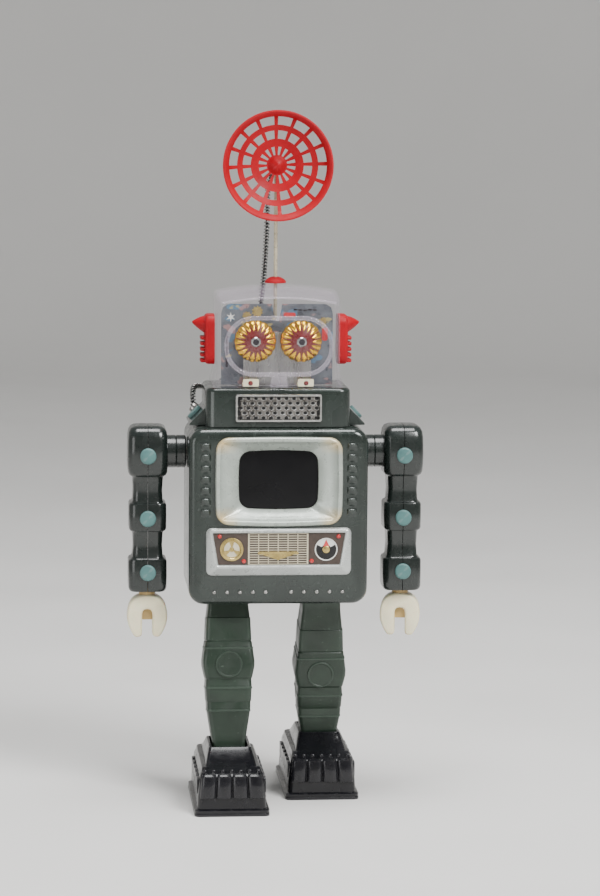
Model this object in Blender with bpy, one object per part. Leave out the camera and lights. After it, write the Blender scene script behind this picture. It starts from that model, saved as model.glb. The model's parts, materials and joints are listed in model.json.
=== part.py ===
"""Walking tin robot with clockwork motor: the design, in metres, +Z up, front towards -Y.

The origin is on the floor under the middle of the robot. Left and right are the viewer's, so the
left side is at -X. Dimensions are in millimetres and become metres in build_mesh.
"""
import math

import bmesh
import bpy
from mathutils import Vector, geometry

MM = 0.001
GAP = 0.3               # clearance between pieces that touch
SHEET = 1.0             # tinplate with its lacquer
SIDES = (("left", -1.0), ("right", 1.0))

# ---- body ----
TORSO_WIDTH, TORSO_DEPTH = 94.6, 60.0
TORSO_BOTTOM, TORSO_TOP = 108.3, 201.8
TORSO_CORNER, TORSO_EDGE = 8.0, 4.0
TORSO_MID = (TORSO_BOTTOM + TORSO_TOP) / 2
TORSO_FRONT = -TORSO_DEPTH / 2
WINDOW_WIDTH, WINDOW_HEIGHT, WINDOW_MID = 60.0, 40.0, 174.4
BEZEL_WIDTH, BEZEL_HEIGHT = 66.6, 47.0
SCREEN_WIDTH, SCREEN_HEIGHT = 42.4, 31.4
TRAY_WIDTH, TRAY_HEIGHT, TRAY_MID = 76.6, 25.2, 136.9
CARD_WIDTH, CARD_HEIGHT, CARD_MID = 67.4, 17.0, 138.7

# ---- neck and head ----
NECK_WIDTH, NECK_DEPTH, NECK_TOP = 76.4, 48.0, 222.6
GRILLE_WIDTH, GRILLE_HEIGHT, GRILLE_MID = 45.8, 14.8, 212.2
SLOPE_RISE = 9.4
EYE_X, EYE_Z, EYE_RADIUS = 12.1, 246.9, 11.1
EAR_MID = 246.8
PLATE_Y = -9.5          # front of the instrument plate
HEAD_SHAFT_X, HEAD_SHAFT_Y = -EYE_X, 2.0

# ---- aerial ----
DISH_RADIUS, DISH_Z = 29.2, 338.8
DISH_DEPTH = 10.0
MAST_Y, MAST_RADIUS = 4.0, 1.0
SPRING_RADIUS = 1.65

# ---- arms ----
SHOULDER_Z = 186.5
ARM_X = 68.2
SHAFT_RADIUS = 2.5
COLLAR_RADIUS = 8.8
WRIST_Z = 112.2

# ---- legs and boots ----
LEG_X = 25.3
CRANK_Z, CRANK_THROW_Z, CRANK_THROW_Y = 120.0, 3.0, 1.1
LEG_LEAN = math.radians(9.0)
ANKLE_DROP = 106.0
BOOT_HALF_LENGTH = 36.3
ROLLER_RADIUS, ROLLER_OFFSET = 3.2, 22.0

# ---- clockwork ----
MODULE = 0.8
PLATE_IN, PLATE_OUT = 20.5, 21.7
GEAR_LEFT, GEAR_RIGHT = -16.0, -13.5
BARREL_TEETH, CRANK_TEETH, DRUM_TEETH = 48, 12, 32
BARREL_PHASE = 0.25     # in tooth pitches
CRANK_WHEEL_TEETH, GOVERNOR_TEETH = 22, 8
BARREL_Z = CRANK_Z + MODULE * (BARREL_TEETH + CRANK_TEETH) / 2
DRUM_Y = HEAD_SHAFT_Y
DRUM_Z = BARREL_Z + math.sqrt((MODULE * (BARREL_TEETH + DRUM_TEETH) / 2) ** 2 - DRUM_Y ** 2)
GOVERNOR_Y = MODULE * (CRANK_WHEEL_TEETH + GOVERNOR_TEETH) / 2
KEY_X = 12.2


# ---------------------------------------------------------------- materials
def material(name, colour, roughness, metallic=0.0, transmission=0.0):
    made = bpy.data.materials.new(name)
    made.use_nodes = True
    shader = made.node_tree.nodes["Principled BSDF"]
    shader.inputs["Base Color"].default_value = (*colour, 1.0)
    shader.inputs["Roughness"].default_value = roughness
    shader.inputs["Metallic"].default_value = metallic
    shader.inputs["Transmission Weight"].default_value = transmission
    return made


PAINTS = {
    "green_tin": ((0.030, 0.050, 0.043), 0.30, 0.2),
    "arm_plastic": ((0.012, 0.022, 0.022), 0.22, 0.0),
    "leg_tin": ((0.035, 0.075, 0.050), 0.45, 0.0),
    "boot_plastic": ((0.008, 0.008, 0.010), 0.20, 0.0),
    "ivory": ((0.62, 0.61, 0.52), 0.40, 0.0),
    "tray_silver": ((0.60, 0.62, 0.62), 0.35, 0.4),
    "screen_black": ((0.004, 0.004, 0.005), 0.12, 0.0),
    "card_brown": ((0.10, 0.07, 0.045), 0.50, 0.0),
    "red_plastic": ((0.72, 0.012, 0.020), 0.32, 0.0),
    "eye_gold": ((0.80, 0.52, 0.10), 0.30, 0.6),
    "plate_litho": ((0.30, 0.33, 0.35), 0.45, 0.2),
    "cream_plastic": ((0.80, 0.73, 0.55), 0.45, 0.0),
    "teal_plastic": ((0.030, 0.160, 0.170), 0.40, 0.0),
    "steel": ((0.45, 0.46, 0.47), 0.30, 1.0),
    "brass": ((0.62, 0.45, 0.18), 0.30, 1.0),
    "rubber": ((0.02, 0.02, 0.02), 0.80, 0.0),
}


# ---------------------------------------------------------------- outlines
def rounded_rect(width, height, radius, centre=(0.0, 0.0), steps=3):
    """Outline of a rectangle with round corners, anticlockwise."""
    points = []
    corners = ((1, 1, 0), (-1, 1, 90), (-1, -1, 180), (1, -1, 270))
    for sx, sy, start in corners:
        cx = centre[0] + sx * (width / 2 - radius)
        cy = centre[1] + sy * (height / 2 - radius)
        for step in range(steps + 1):
            angle = math.radians(start + 90.0 * step / steps)
            points.append((cx + radius * math.cos(angle), cy + radius * math.sin(angle)))
    return points


def circle(radius, count=20, centre=(0.0, 0.0)):
    turn = 2 * math.pi / count
    return [(centre[0] + radius * math.cos(turn * i), centre[1] + radius * math.sin(turn * i))
            for i in range(count)]


def slot_hole(width, bottom, top, centre_u):
    """Upright slot with round ends, between bottom and top."""
    middle = (bottom + top) / 2
    return rounded_rect(width, top - bottom, width / 2 - 0.01, (centre_u, middle))


def meshing_phase(teeth, phase, mate_teeth, direction):
    """Phase that puts the mate's gap on a wheel's tooth, where direction points from wheel to mate."""
    offset = phase - direction * teeth / (2 * math.pi)
    return 0.5 - offset + (direction + math.pi) * mate_teeth / (2 * math.pi)


def gear_outline(teeth, centre, phase=0.0):
    """Straight-flanked teeth, shallower and thinner than the pitch allows, so that wheels run free."""
    pitch_radius = MODULE * teeth / 2
    root, tip = pitch_radius - 1.15 * MODULE, pitch_radius + 0.75 * MODULE
    points = []
    for tooth in range(teeth):
        for radius, share in ((root, -0.30), (tip, -0.12), (tip, 0.12), (root, 0.30)):
            angle = 2 * math.pi * (tooth + phase + share) / teeth
            points.append((centre[0] + radius * math.cos(angle), centre[1] + radius * math.sin(angle)))
    return points


# ---------------------------------------------------------------- solids
def on_axis(axis, along, u, v):
    """Point at 'along' on the axis, with u and v across it: (y, z), (x, z) or (x, y)."""
    return {"X": (along, u, v), "Y": (u, along, v), "Z": (u, v, along)}[axis]


def build_mesh(name, points, faces, paint, origin=(0, 0, 0), parent=None):
    """One closed object, its origin on its joint's axis. Points and origin are in millimetres."""
    mesh = bpy.data.meshes.new(name)
    shift = Vector(origin)
    mesh.from_pydata([(Vector(p) - shift) * MM for p in points], [], faces)
    shape = bmesh.new()
    shape.from_mesh(mesh)
    bmesh.ops.remove_doubles(shape, verts=shape.verts, dist=1e-6)
    bmesh.ops.recalc_face_normals(shape, faces=shape.faces)
    shape.to_mesh(mesh)
    shape.free()
    mesh.materials.append(MATERIALS[paint])
    mesh.shade_smooth()
    mesh.set_sharp_from_angle(angle=math.radians(35))
    made = bpy.data.objects.new(name, mesh)
    made.location = shift * MM
    made.parent = parent
    bpy.context.collection.objects.link(made)
    return made


def skin(name, loops, paint, ring=False, **where):
    """Walls between loops of equal length. A ring joins the last loop to the first, else caps close it."""
    count = len(loops[0])
    points = [point for loop in loops for point in loop]
    faces = []
    for k in range(len(loops) if ring else len(loops) - 1):
        a, b = k * count, (k + 1) % len(loops) * count
        faces += [(a + i, a + (i + 1) % count, b + (i + 1) % count, b + i) for i in range(count)]
    if not ring:
        faces.append(tuple(range(count)))
        faces.append(tuple(range(len(points) - count, len(points))))
    return build_mesh(name, points, faces, paint, **where)


def plate(name, axis, start, stop, outer, holes, paint, **where):
    """Flat plate across an axis, with holes right through it."""
    outlines = [outer] + list(holes)
    flat = [[Vector((u, v, 0)) for u, v in outline] for outline in outlines]
    corners = [point for outline in outlines for point in outline]
    total = len(corners)
    points = [on_axis(axis, along, u, v) for along in (start, stop) for u, v in corners]
    faces = []
    for triangle in geometry.tessellate_polygon(flat):
        faces.append(tuple(triangle))
        faces.append(tuple(total + i for i in triangle))
    first = 0
    for outline in outlines:
        count = len(outline)
        for i in range(count):
            a, b = first + i, first + (i + 1) % count
            faces.append((a, b, total + b, total + a))
        first += count
    return build_mesh(name, points, faces, paint, **where)


def turned(name, axis, centre, profile, paint, count=20, closed=False, **where):
    """Profile of (along, radius) turned about an axis. A closed profile makes a ring with a bore."""
    points, faces = [], []
    for i in range(count):
        angle = 2 * math.pi * i / count
        for along, radius in profile:
            points.append(on_axis(axis, along, centre[0] + radius * math.cos(angle),
                                  centre[1] + radius * math.sin(angle)))
    size = len(profile)
    for i in range(count):
        a, b = i * size, (i + 1) % count * size
        for k in range(size if closed else size - 1):
            n = (k + 1) % size
            faces.append((a + k, a + n, b + n, b + k))
    return build_mesh(name, points, faces, paint, **where)


def box(name, low, high, paint, **where):
    outline = [(low[0], low[1]), (high[0], low[1]), (high[0], high[1]), (low[0], high[1])]
    return plate(name, "Z", low[2], high[2], outline, [], paint, **where)


def combine(target, tool, operation):
    """Boolean with a guide object that is not part of the model."""
    tool.hide_render = True
    tool.display_type = "WIRE"
    change = target.modifiers.new(tool.name, "BOOLEAN")
    change.operation = operation
    change.solver = "EXACT"
    change.object = tool
    return target


def cut(target, tool):
    return combine(target, tool, "DIFFERENCE")


def weld(target, tool):
    return combine(target, tool, "UNION")


def empty(name, location, lean=0.0, parent=None):
    made = bpy.data.objects.new(name, None)
    made.location = Vector(location) * MM
    made.rotation_euler = (lean, 0, 0)
    made.parent = parent
    bpy.context.collection.objects.link(made)
    return made


# ---------------------------------------------------------------- torso
def torso_loop(y, inset, wall=0.0):
    inset += wall
    radius = max(TORSO_CORNER - inset, 1.0)
    width, height = TORSO_WIDTH - 2 * inset, TORSO_TOP - TORSO_BOTTOM - 2 * inset
    outline = rounded_rect(width, height, radius, (0, TORSO_MID))
    return [(x, y, z) for x, z in outline]


def torso_edge(side, wall):
    """Loops from the seam out to the flat of the front (side -1) or back (side 1)."""
    loops = [torso_loop(side * GAP / 2, 0.0, wall)]
    radius = TORSO_EDGE - wall
    for degrees in (0, 30, 60, 90):
        angle = math.radians(degrees)
        y = side * (TORSO_DEPTH / 2 - TORSO_EDGE + radius * math.sin(angle))
        loops.append(torso_loop(y, radius * (1 - math.cos(angle)), wall))
    return loops


def body_cutters():
    """Holes that go through the torso walls, whichever shell they fall in."""
    tools = []
    for side, sign in SIDES:
        x = sign * LEG_X
        low, high = (x - 12.2, -17.5, TORSO_BOTTOM - 1), (x + 12.2, 17.5, TORSO_BOTTOM + 2)
        tools.append(box(side + "_leg_slot", low, high, "steel"))
        tools.append(turned(side + "_shoulder_hole", "X", (0, SHOULDER_Z),
                            [(sign * 44, 0), (sign * 44, 3.3), (sign * 50, 3.3), (sign * 50, 0)], "steel"))
    tools.append(turned("head_shaft_hole", "Z", (HEAD_SHAFT_X, HEAD_SHAFT_Y),
                        [(198, 0), (198, 1.6), (204, 1.6), (204, 0)], "steel", 12))
    return tools


def make_torso():
    front = torso_edge(-1, 0.0)
    inner = torso_edge(-1, SHEET)
    for y in (TORSO_FRONT, TORSO_FRONT + SHEET):
        window = rounded_rect(WINDOW_WIDTH, WINDOW_HEIGHT, 6.0, (0, WINDOW_MID))
        front.append([(x, y, z) for x, z in window])
    front_shell = skin("front_shell", front + inner[::-1], "green_tin", ring=True)
    back_shell = skin("back_shell", torso_edge(1, 0.0)[::-1] + torso_edge(1, SHEET), "green_tin")
    for tool in body_cutters():
        cut(front_shell, tool)
        cut(back_shell, tool)
    key_hole = [(26, 0), (26, 2.4), (34, 2.4), (34, 0)]
    cut(back_shell, turned("key_hole", "Y", (KEY_X, BARREL_Z), key_hole, "steel", 16))
    cut(back_shell, box("lever_slot", (-19.5, 26, 124.8), (-8.5, 34, 127.2), "steel"))


def make_bezel():
    steps = ((0.0, -30.3), (0.0, -31.8), (0.8, -32.7), (2.0, -32.7))
    loops = []
    for inset, y in steps:
        width, height = BEZEL_WIDTH - 2 * inset, BEZEL_HEIGHT - 2 * inset
        outline = rounded_rect(width, height, 7.0 - inset, (0, WINDOW_MID))
        loops.append([(x, y, z) for x, z in outline])
    for extra, y in ((0.0, -26.8), (0.0, -25.6), (1.6, -25.6)):
        outline = rounded_rect(SCREEN_WIDTH + 2 * extra, SCREEN_HEIGHT + 2 * extra, 5.6, (0, WINDOW_MID))
        loops.append([(x, y, z) for x, z in outline])
    throat = rounded_rect(WINDOW_WIDTH - 1.4, WINDOW_HEIGHT - 1.4, 6.0, (0, WINDOW_MID))
    loops += [[(x, y, z) for x, z in throat] for y in (-29.2, -30.3)]
    skin("screen_bezel", loops, "ivory", ring=True)
    lens = rounded_rect(SCREEN_WIDTH + 3, SCREEN_HEIGHT + 3, 6.0, (0, WINDOW_MID))
    plate("screen_lens", "Y", -25.3, -23.8, lens, [], "screen_black")


def make_panel():
    steps = ((0.0, -30.3), (0.0, -32.4), (0.6, -32.9))
    loops = []
    for inset, y in steps:
        outline = rounded_rect(TRAY_WIDTH - 2 * inset, TRAY_HEIGHT - 2 * inset, 1.6 - inset, (0, TRAY_MID))
        loops.append([(x, y, z) for x, z in outline])
    for inset, y in ((-0.8, -32.5), (0.0, -31.3)):
        width, height = CARD_WIDTH + 2 * GAP - 2 * inset, CARD_HEIGHT + 2 * GAP - 2 * inset
        outline = rounded_rect(width, height, 0.8, (0, CARD_MID))
        loops.append([(x, y, z) for x, z in outline])
    skin("panel_tray", loops, "tray_silver")
    plate("panel_card", "Y", -32.1, -31.6, rounded_rect(CARD_WIDTH, CARD_HEIGHT, 0.6, (0, CARD_MID)), [],
          "card_brown")


# ---------------------------------------------------------------- neck and head
def level_loop(z, half_x, half_y, radius, centre_y=0.0):
    return [(x, y, z) for x, y in rounded_rect(2 * half_x, 2 * half_y, radius, (0, centre_y))]


def make_neck():
    half_x, half_y, base = NECK_WIDTH / 2, NECK_DEPTH / 2, TORSO_TOP + GAP
    loops = [level_loop(NECK_TOP, half_x - 2.0, half_y - 2.0, 4.0),
             level_loop(NECK_TOP - 0.6, half_x - 0.6, half_y - 0.6, 5.4),
             level_loop(NECK_TOP - 2.0, half_x, half_y, 6.0), level_loop(base, half_x, half_y, 6.0),
             level_loop(base, half_x - SHEET, half_y - SHEET, 5.0),
             level_loop(NECK_TOP - 2.0, half_x - SHEET, half_y - SHEET, 5.0),
             level_loop(NECK_TOP - SHEET, half_x - 2.0, half_y - 2.0, 4.0)]
    neck = skin("neck_box", loops, "green_tin")
    for side, sign in SIDES:
        wedge = [(sign * (half_x - 0.6), base), (sign * (TORSO_WIDTH / 2 - 0.3), base),
                 (sign * half_x, base + SLOPE_RISE), (sign * (half_x - 0.6), base + SLOPE_RISE)]
        weld(neck, plate(side + "_slope", "Y", -19, 22, wedge, [], "green_tin"))
        slope = Vector((sign * SLOPE_RISE, 0, TORSO_WIDTH / 2 - 0.3 - half_x)).normalized()
        middle = Vector((sign * (TORSO_WIDTH / 2 - 0.3 + half_x) / 2, 1.0, base + SLOPE_RISE / 2))
        along = Vector((0, 1, 0)).cross(slope)
        loops = []
        for height, radius in ((GAP, 4.2), (1.5, 4.2), (2.0, 3.7)):
            base_point = middle + slope * height
            loops.append([base_point + along * u + Vector((0, v, 0)) for u, v in circle(radius, 18)])
        skin(side + "_shoulder_disc", loops, "teal_plastic")
    mast_hole = [(219, 0), (219, 1.3), (225, 1.3), (225, 0)]
    cut(neck, turned("mast_hole", "Z", (0, MAST_Y), mast_hole, "steel", 12))
    cut(neck, turned("neck_shaft_hole", "Z", (HEAD_SHAFT_X, HEAD_SHAFT_Y),
                     [(219, 0), (219, 1.6), (225, 1.6), (225, 0)], "steel", 12))


def make_grille():
    front = -NECK_DEPTH / 2 - GAP
    outer = rounded_rect(GRILLE_WIDTH, GRILLE_HEIGHT, 1.2, (0, GRILLE_MID))
    inner = rounded_rect(GRILLE_WIDTH - 3.2, GRILLE_HEIGHT - 3.2, 0.6, (0, GRILLE_MID))
    plate("grille_frame", "Y", front - 1.5, front, outer, [inner], "tray_silver")
    mesh = rounded_rect(GRILLE_WIDTH - 3.9, GRILLE_HEIGHT - 3.9, 0.4, (0, GRILLE_MID))
    plate("grille_mesh", "Y", front - 0.8, front, mesh, [], "steel")


def dome_loops(wall):
    stations = ((222.9, 34.3, 25.3, 6), (226.5, 33.4, 24.8, 6), (231, 32.6, 24.4, 6), (263, 32.4, 24.2, 6),
                (267.3, 31.8, 23.8, 6), (269.9, 29.6, 22.2, 7), (273.2, 21, 15.5, 7), (275.4, 12, 9, 6),
                (276.4, 5.5, 5, 3))
    loops = []
    for z, half_x, half_y, radius in stations:
        low = z if z < 223 else z - wall
        loops.append(level_loop(low, half_x - wall, half_y - wall, max(radius - wall, 1.2)))
    return loops


def make_head():
    dome = skin("head_dome", dome_loops(0.0)[::-1] + dome_loops(1.4), "plate_litho")
    roof_hole = [(270, 0), (270, 1.5), (280, 1.5), (280, 0)]
    cut(dome, turned("roof_hole", "Z", (0, MAST_Y), roof_hole, "steel", 12))
    top = 266.0
    card = [(-29.6, 223.2), (29.6, 223.2), (29.6, top - 5), (24.6, top), (2.2, top), (0.9, top - 8.5),
            (-0.9, top - 8.5), (-2.2, top), (-24.6, top), (-29.6, top - 5)]
    bores = [circle(1.5, 12, (sign * EYE_X, EYE_Z)) for _, sign in SIDES]
    plate("instrument_plate", "Y", PLATE_Y, PLATE_Y + 0.8, card, bores, "plate_litho")
    strap = rounded_rect(36, 28, 4, (0, 237.2))
    bracket = plate("eye_bracket", "Y", PLATE_Y - 3.0, PLATE_Y - 2.2, strap, bores, "cream_plastic")
    for side, sign in SIDES:
        x = sign * 14.5
        foot_low, foot_high = (x - 4.2, -20.5, 223.2), (x + 4.2, PLATE_Y - 2.5, 224.4)
        weld(bracket, box(side + "_bracket_foot", foot_low, foot_high, "cream_plastic"))


def make_eyes():
    for side, sign in SIDES:
        centre = (sign * EYE_X, EYE_Z)
        rear = -1.0 if side == "left" else -5.2
        profile = [(-21.6, 0), (-21.4, 3.5), (-20.4, 7.2), (-18.4, 10.2), (-17.0, EYE_RADIUS),
                   (-16.0, EYE_RADIUS), (-16.0, 1.1), (-7.6, 1.1), (-7.6, 2.0), (-5.2, 2.0)]
        if side == "left":
            profile += [(-4.6, 2.0), (-4.6, 3.0), (rear, 3.0)]
        profile.append((rear, 0))
        turned(side + "_eye", "Y", centre, profile, "eye_gold", 18, origin=(centre[0], -18, EYE_Z))
    loops = []
    for radius in (3.1, 2.3):
        loops.append(rounded_rect(2 * (EYE_X + radius), 2 * radius, radius - 0.01, (0, EYE_Z), 5))
    plate("eye_belt", "Y", -7.2, -5.8, loops[0], [loops[1]], "rubber")
    shaft = [(189.8, 0), (189.8, 6.0), (190.8, 6.0), (190.8, 0.9), (242.4, 0.9), (242.4, 6.4), (243.6, 6.4),
             (243.6, 0)]
    turned("head_drive_shaft", "Z", (HEAD_SHAFT_X, HEAD_SHAFT_Y), shaft, "steel", 20,
           origin=(HEAD_SHAFT_X, HEAD_SHAFT_Y, 200))


def make_ears():
    for side, sign in SIDES:
        body = rounded_rect(17, 26.4, 4, (0, EAR_MID))
        loops = [[(sign * 32.9, y, z) for y, z in body], [(sign * 37.4, y, z) for y, z in body],
                 [(sign * 38.2, y * 0.92, EAR_MID + (z - EAR_MID) * 0.95) for y, z in body]]
        ear = skin(side + "_ear", loops, "red_plastic")
        spike = []
        for x, radius, rise in ((37.0, 5.0, 7.4), (40.5, 3.2, 8.0), (44.4, 0.8, 8.6)):
            spike.append([(sign * x, y, z) for y, z in circle(radius, 12, (0, EAR_MID + rise))])
        weld(ear, skin(side + "_spike", spike, "red_plastic"))


# ---------------------------------------------------------------- aerial
def dish_face(radius):
    """Y of the dish's front at a radius from its axis: the rim stands forward of the hub."""
    return -1.6 - DISH_DEPTH * (radius / DISH_RADIUS) ** 2


def make_dish():
    """Turned bowl with sixteen spokes between a hub and three rings, as one moulding."""
    radii = (5.0, 5.8, 9.9, 13.9, 18.4, 21.4, 25.8, DISH_RADIUS)
    open_rows = (1, 3, 5)
    spokes, half, turn = 16, math.radians(3.6), math.radians(2.5)
    angles = []
    for spoke in range(spokes):
        middle = 2 * math.pi * spoke / spokes + turn
        angles += [middle - half, middle + half]
    points = []
    for thickness in (0.0, 1.2):
        for radius in radii:
            for angle in angles:
                points.append((radius * math.cos(angle), dish_face(radius) + thickness,
                               DISH_Z + radius * math.sin(angle)))
    across, rows = len(angles), len(radii)
    back = across * rows

    def filled(row, cell):
        return 0 <= row < rows - 1 and not (row in open_rows and cell % across % 2 == 1)

    faces = []
    for row in range(rows - 1):
        for cell in range(across):
            if not filled(row, cell):
                continue
            n = (cell + 1) % across
            near, far = row * across, (row + 1) * across
            a, b, c, d = near + cell, near + n, far + n, far + cell
            faces += [(a, b, c, d), (a + back, b + back, c + back, d + back)]
            edges = (((row - 1, cell), (a, b)), ((row + 1, cell), (c, d)), ((row, cell - 1), (a, d)),
                     ((row, cell + 1), (b, c)))
            for (other_row, other_cell), (p, q) in edges:
                if other_row >= 0 and not filled(other_row, other_cell):
                    faces.append((p, q, q + back, p + back))
    faces.append(tuple(range(across)))
    faces.append(tuple(back + i for i in range(across)))
    dish = build_mesh("dish", points, faces, "red_plastic", origin=(0, -1.6, DISH_Z))
    hub = [(-4.4, 0), (-4.1, 1.7), (-3.1, 3.6), (-1.9, 5.6), (-0.3, 5.6), (-0.3, 1.0), (10.5, 1.0), (10.5, 0)]
    weld(dish, turned("dish_hub", "Y", (0, DISH_Z), hub, "red_plastic", 20))


def make_mast():
    rod = [(206.0, 0), (206.0, MAST_RADIUS), (336.4, MAST_RADIUS), (336.4, 0)]
    mast = turned("mast", "Z", (0, MAST_Y), rod, "steel", 12)
    bearing = [(0.2, 1.3), (0.2, 3.2), (7.8, 3.2), (7.8, 1.3)]
    weld(mast, turned("dish_bearing", "Y", (0, DISH_Z), bearing, "steel", 16, closed=True))
    grommet = [(276.7, 1.3), (276.7, 5.7), (277.6, 5.4), (278.8, 3.6), (279.5, 2.2), (279.5, 1.3)]
    turned("mast_grommet", "Z", (0, MAST_Y), grommet, "red_plastic", 20, closed=True)


def smooth_route(stations, spacing):
    """Points on a Catmull-Rom curve through the stations, about 'spacing' apart."""
    guides = [Vector(p) for p in stations]
    guides = [2 * guides[0] - guides[1]] + guides + [2 * guides[-1] - guides[-2]]
    points = []
    for i in range(1, len(guides) - 2):
        p0, p1, p2, p3 = guides[i - 1:i + 3]
        steps = max(1, round((p2 - p1).length / spacing))
        for step in range(steps):
            t = step / steps
            points.append(0.5 * (2 * p1 + (p2 - p0) * t + (2 * p0 - 5 * p1 + 4 * p2 - p3) * t ** 2
                                 + (3 * p1 - p0 - 3 * p2 + p3) * t ** 3))
    return points + [guides[-2]]


def make_drive_spring():
    """Flexible shaft of close-wound wire, from the left shoulder up behind the head to the dish axle."""
    stations = ((0, 10.9, 338.8), (0, 14.5, 338.4), (-1.2, 18.4, 335.2), (-3.0, 20.2, 326),
                (-3.4, 20.4, 316), (-3.6, 21.2, 304), (-4.2, 23.8, 288), (-5.0, 27.6, 273),
                (-7.0, 29.6, 258), (-12.0, 30.2, 242), (-20.0, 30.2, 227.5), (-28.0, 29.4, 220.6),
                (-35.0, 27.2, 218.6), (-40.4, 22.4, 219.2), (-42.6, 17.0, 219.0), (-43.4, 13.0, 216.6),
                (-43.4, 10.8, 213), (-43.2, 10.2, 209.0))
    route = smooth_route(stations, 6.0)
    curve = bpy.data.curves.new("drive_spring", "CURVE")
    curve.dimensions = "3D"
    line = curve.splines.new("POLY")
    line.points.add(len(route) - 1)
    for point, place in zip(line.points, route):
        point.co = (*(place * MM), 1.0)
    curve.bevel_depth = SPRING_RADIUS * MM
    curve.bevel_resolution = 2
    curve.use_fill_caps = True
    curve.render_resolution_u = 0
    curve.materials.append(MATERIALS["steel"])
    bpy.context.collection.objects.link(bpy.data.objects.new("drive_spring", curve))


# ---------------------------------------------------------------- arms
ARM_STATIONS = ((201.0, 6.0, 7.0), (199.2, 9.2, 11.0), (195.5, 10.3, 13.2), (186.5, 10.5, 14.0),
                (178.0, 10.4, 12.8), (174.6, 9.8, 11.2), (173.2, 8.0, 9.6), (160.2, 7.8, 9.2),
                (159.0, 9.6, 10.8), (157.0, 9.9, 11.0), (146.4, 9.9, 11.0), (144.8, 9.4, 10.6),
                (143.8, 7.8, 9.2), (130.2, 7.8, 9.2), (129.0, 9.9, 10.8), (127.0, 10.2, 11.0),
                (114.0, 10.2, 11.0), (WRIST_Z, 9.4, 10.2))
ARM_CAVITY = ((198.0, 7.6, 9.4), (176.0, 8.8, 10.6), (172.0, 6.5, 7.9), (161.2, 6.4, 7.8), (157.0, 8.5, 9.6),
              (146.6, 8.5, 9.6), (143.0, 6.4, 7.8), (131.0, 6.4, 7.8), (127.0, 8.8, 9.6), (113.8, 8.4, 9.2))
STUDS = (("shoulder", 185.6, 14.0), ("elbow", 151.8, 11.0), ("wrist", 122.8, 11.0))


def arm_form(name, stations, x):
    loops = []
    for z, half_x, half_y in stations:
        outline = rounded_rect(2 * half_x, 2 * half_y, min(half_x, half_y) * 0.55, (x, 0), 2)
        loops.append([(u, v, z) for u, v in outline])
    return skin(name, loops, "arm_plastic", origin=(x, 0, SHOULDER_Z))


def make_arm(side, sign):
    x = sign * ARM_X
    cavity = arm_form(side + "_arm_cavity", ARM_CAVITY, x)
    bore = [(110, 0), (110, 3.4), (116, 3.4), (116, 0)]
    wrist = turned(side + "_wrist_bore", "Z", (x, 0), bore, "steel", 16)
    for half, inward in (("inner", -1.0), ("outer", 1.0)):
        shell = arm_form(side + "_arm_" + half, ARM_STATIONS, x)
        seam = x + sign * inward * GAP / 2
        far = x - sign * inward * 14
        low, high = min(seam, far), max(seam, far)
        if half == "inner":
            collar = [(sign * (TORSO_WIDTH / 2 + 0.4), 0), (sign * (TORSO_WIDTH / 2 + 0.4), COLLAR_RADIUS),
                      (sign * 59.5, COLLAR_RADIUS), (sign * 59.5, 0)]
            weld(shell, turned(side + "_collar", "X", (0, SHOULDER_Z), collar, "arm_plastic", 24))
        cut(shell, cavity)
        cut(shell, box(side + "_" + half + "_half", (low, -16, 105), (high, 16, 206), "steel"))
        cut(shell, wrist)
        if half == "inner":
            radius = SHAFT_RADIUS + GAP
            bore = [(sign * 46, 0), (sign * 46, radius), (sign * 62, radius), (sign * 62, 0)]
            cut(shell, turned(side + "_shaft_bore", "X", (0, SHOULDER_Z), bore, "steel", 16))
    for place, z, depth in STUDS:
        profile = [(-depth - 2.2, 0), (-depth - 2.2, 3.6), (-depth - 1.7, 4.3), (-depth - GAP, 4.3),
                   (-depth - GAP, 0)]
        turned("_".join((side, place, "stud")), "Y", (x, z), profile, "teal_plastic", 16,
               origin=(x, 0, SHOULDER_Z))
    shaft = [(sign * 18.3, 0), (sign * 18.3, SHAFT_RADIUS), (sign * 64, SHAFT_RADIUS), (sign * 64, 0)]
    turned(side + "_shoulder_shaft", "X", (0, SHOULDER_Z), shaft, "steel", 16, origin=(x, 0, SHOULDER_Z))


def make_claw(side, sign):
    """C-shaped gripper: two fingers round a slot that opens downwards."""
    x = sign * ARM_X
    slot, top, palm = 2.7, 109.4, 101.2
    half = [(5.4, top), (7.9, 107.4), (9.8, 104.2), (10.7, 99.4), (10.4, 94.6), (9.4, 91.6), (8.0, 88.9),
            (6.4, 87.0), (4.2, 86.9), (slot, 88.4), (slot, 98.2), (1.6, palm)]
    outline = [(-u, z) for u, z in half] + half[::-1]
    loops = [[(x + u * (1 - cut_back), y, z) for u, z in outline]
             for y, cut_back in ((-5.0, 0.05), (-4.2, 0.0), (4.2, 0.0), (5.0, 0.05))]
    claw = skin(side + "_claw", loops, "cream_plastic", origin=(x, 0, WRIST_Z))
    stem = [(top - 1.0, 0), (top - 1.0, 3.0), (111.8, 3.0), (116.2, 3.0), (116.2, 5.0), (117.6, 5.0),
            (117.6, 0)]
    weld(claw, turned(side + "_claw_stem", "Z", (x, 0), stem, "cream_plastic", 16))


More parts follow.
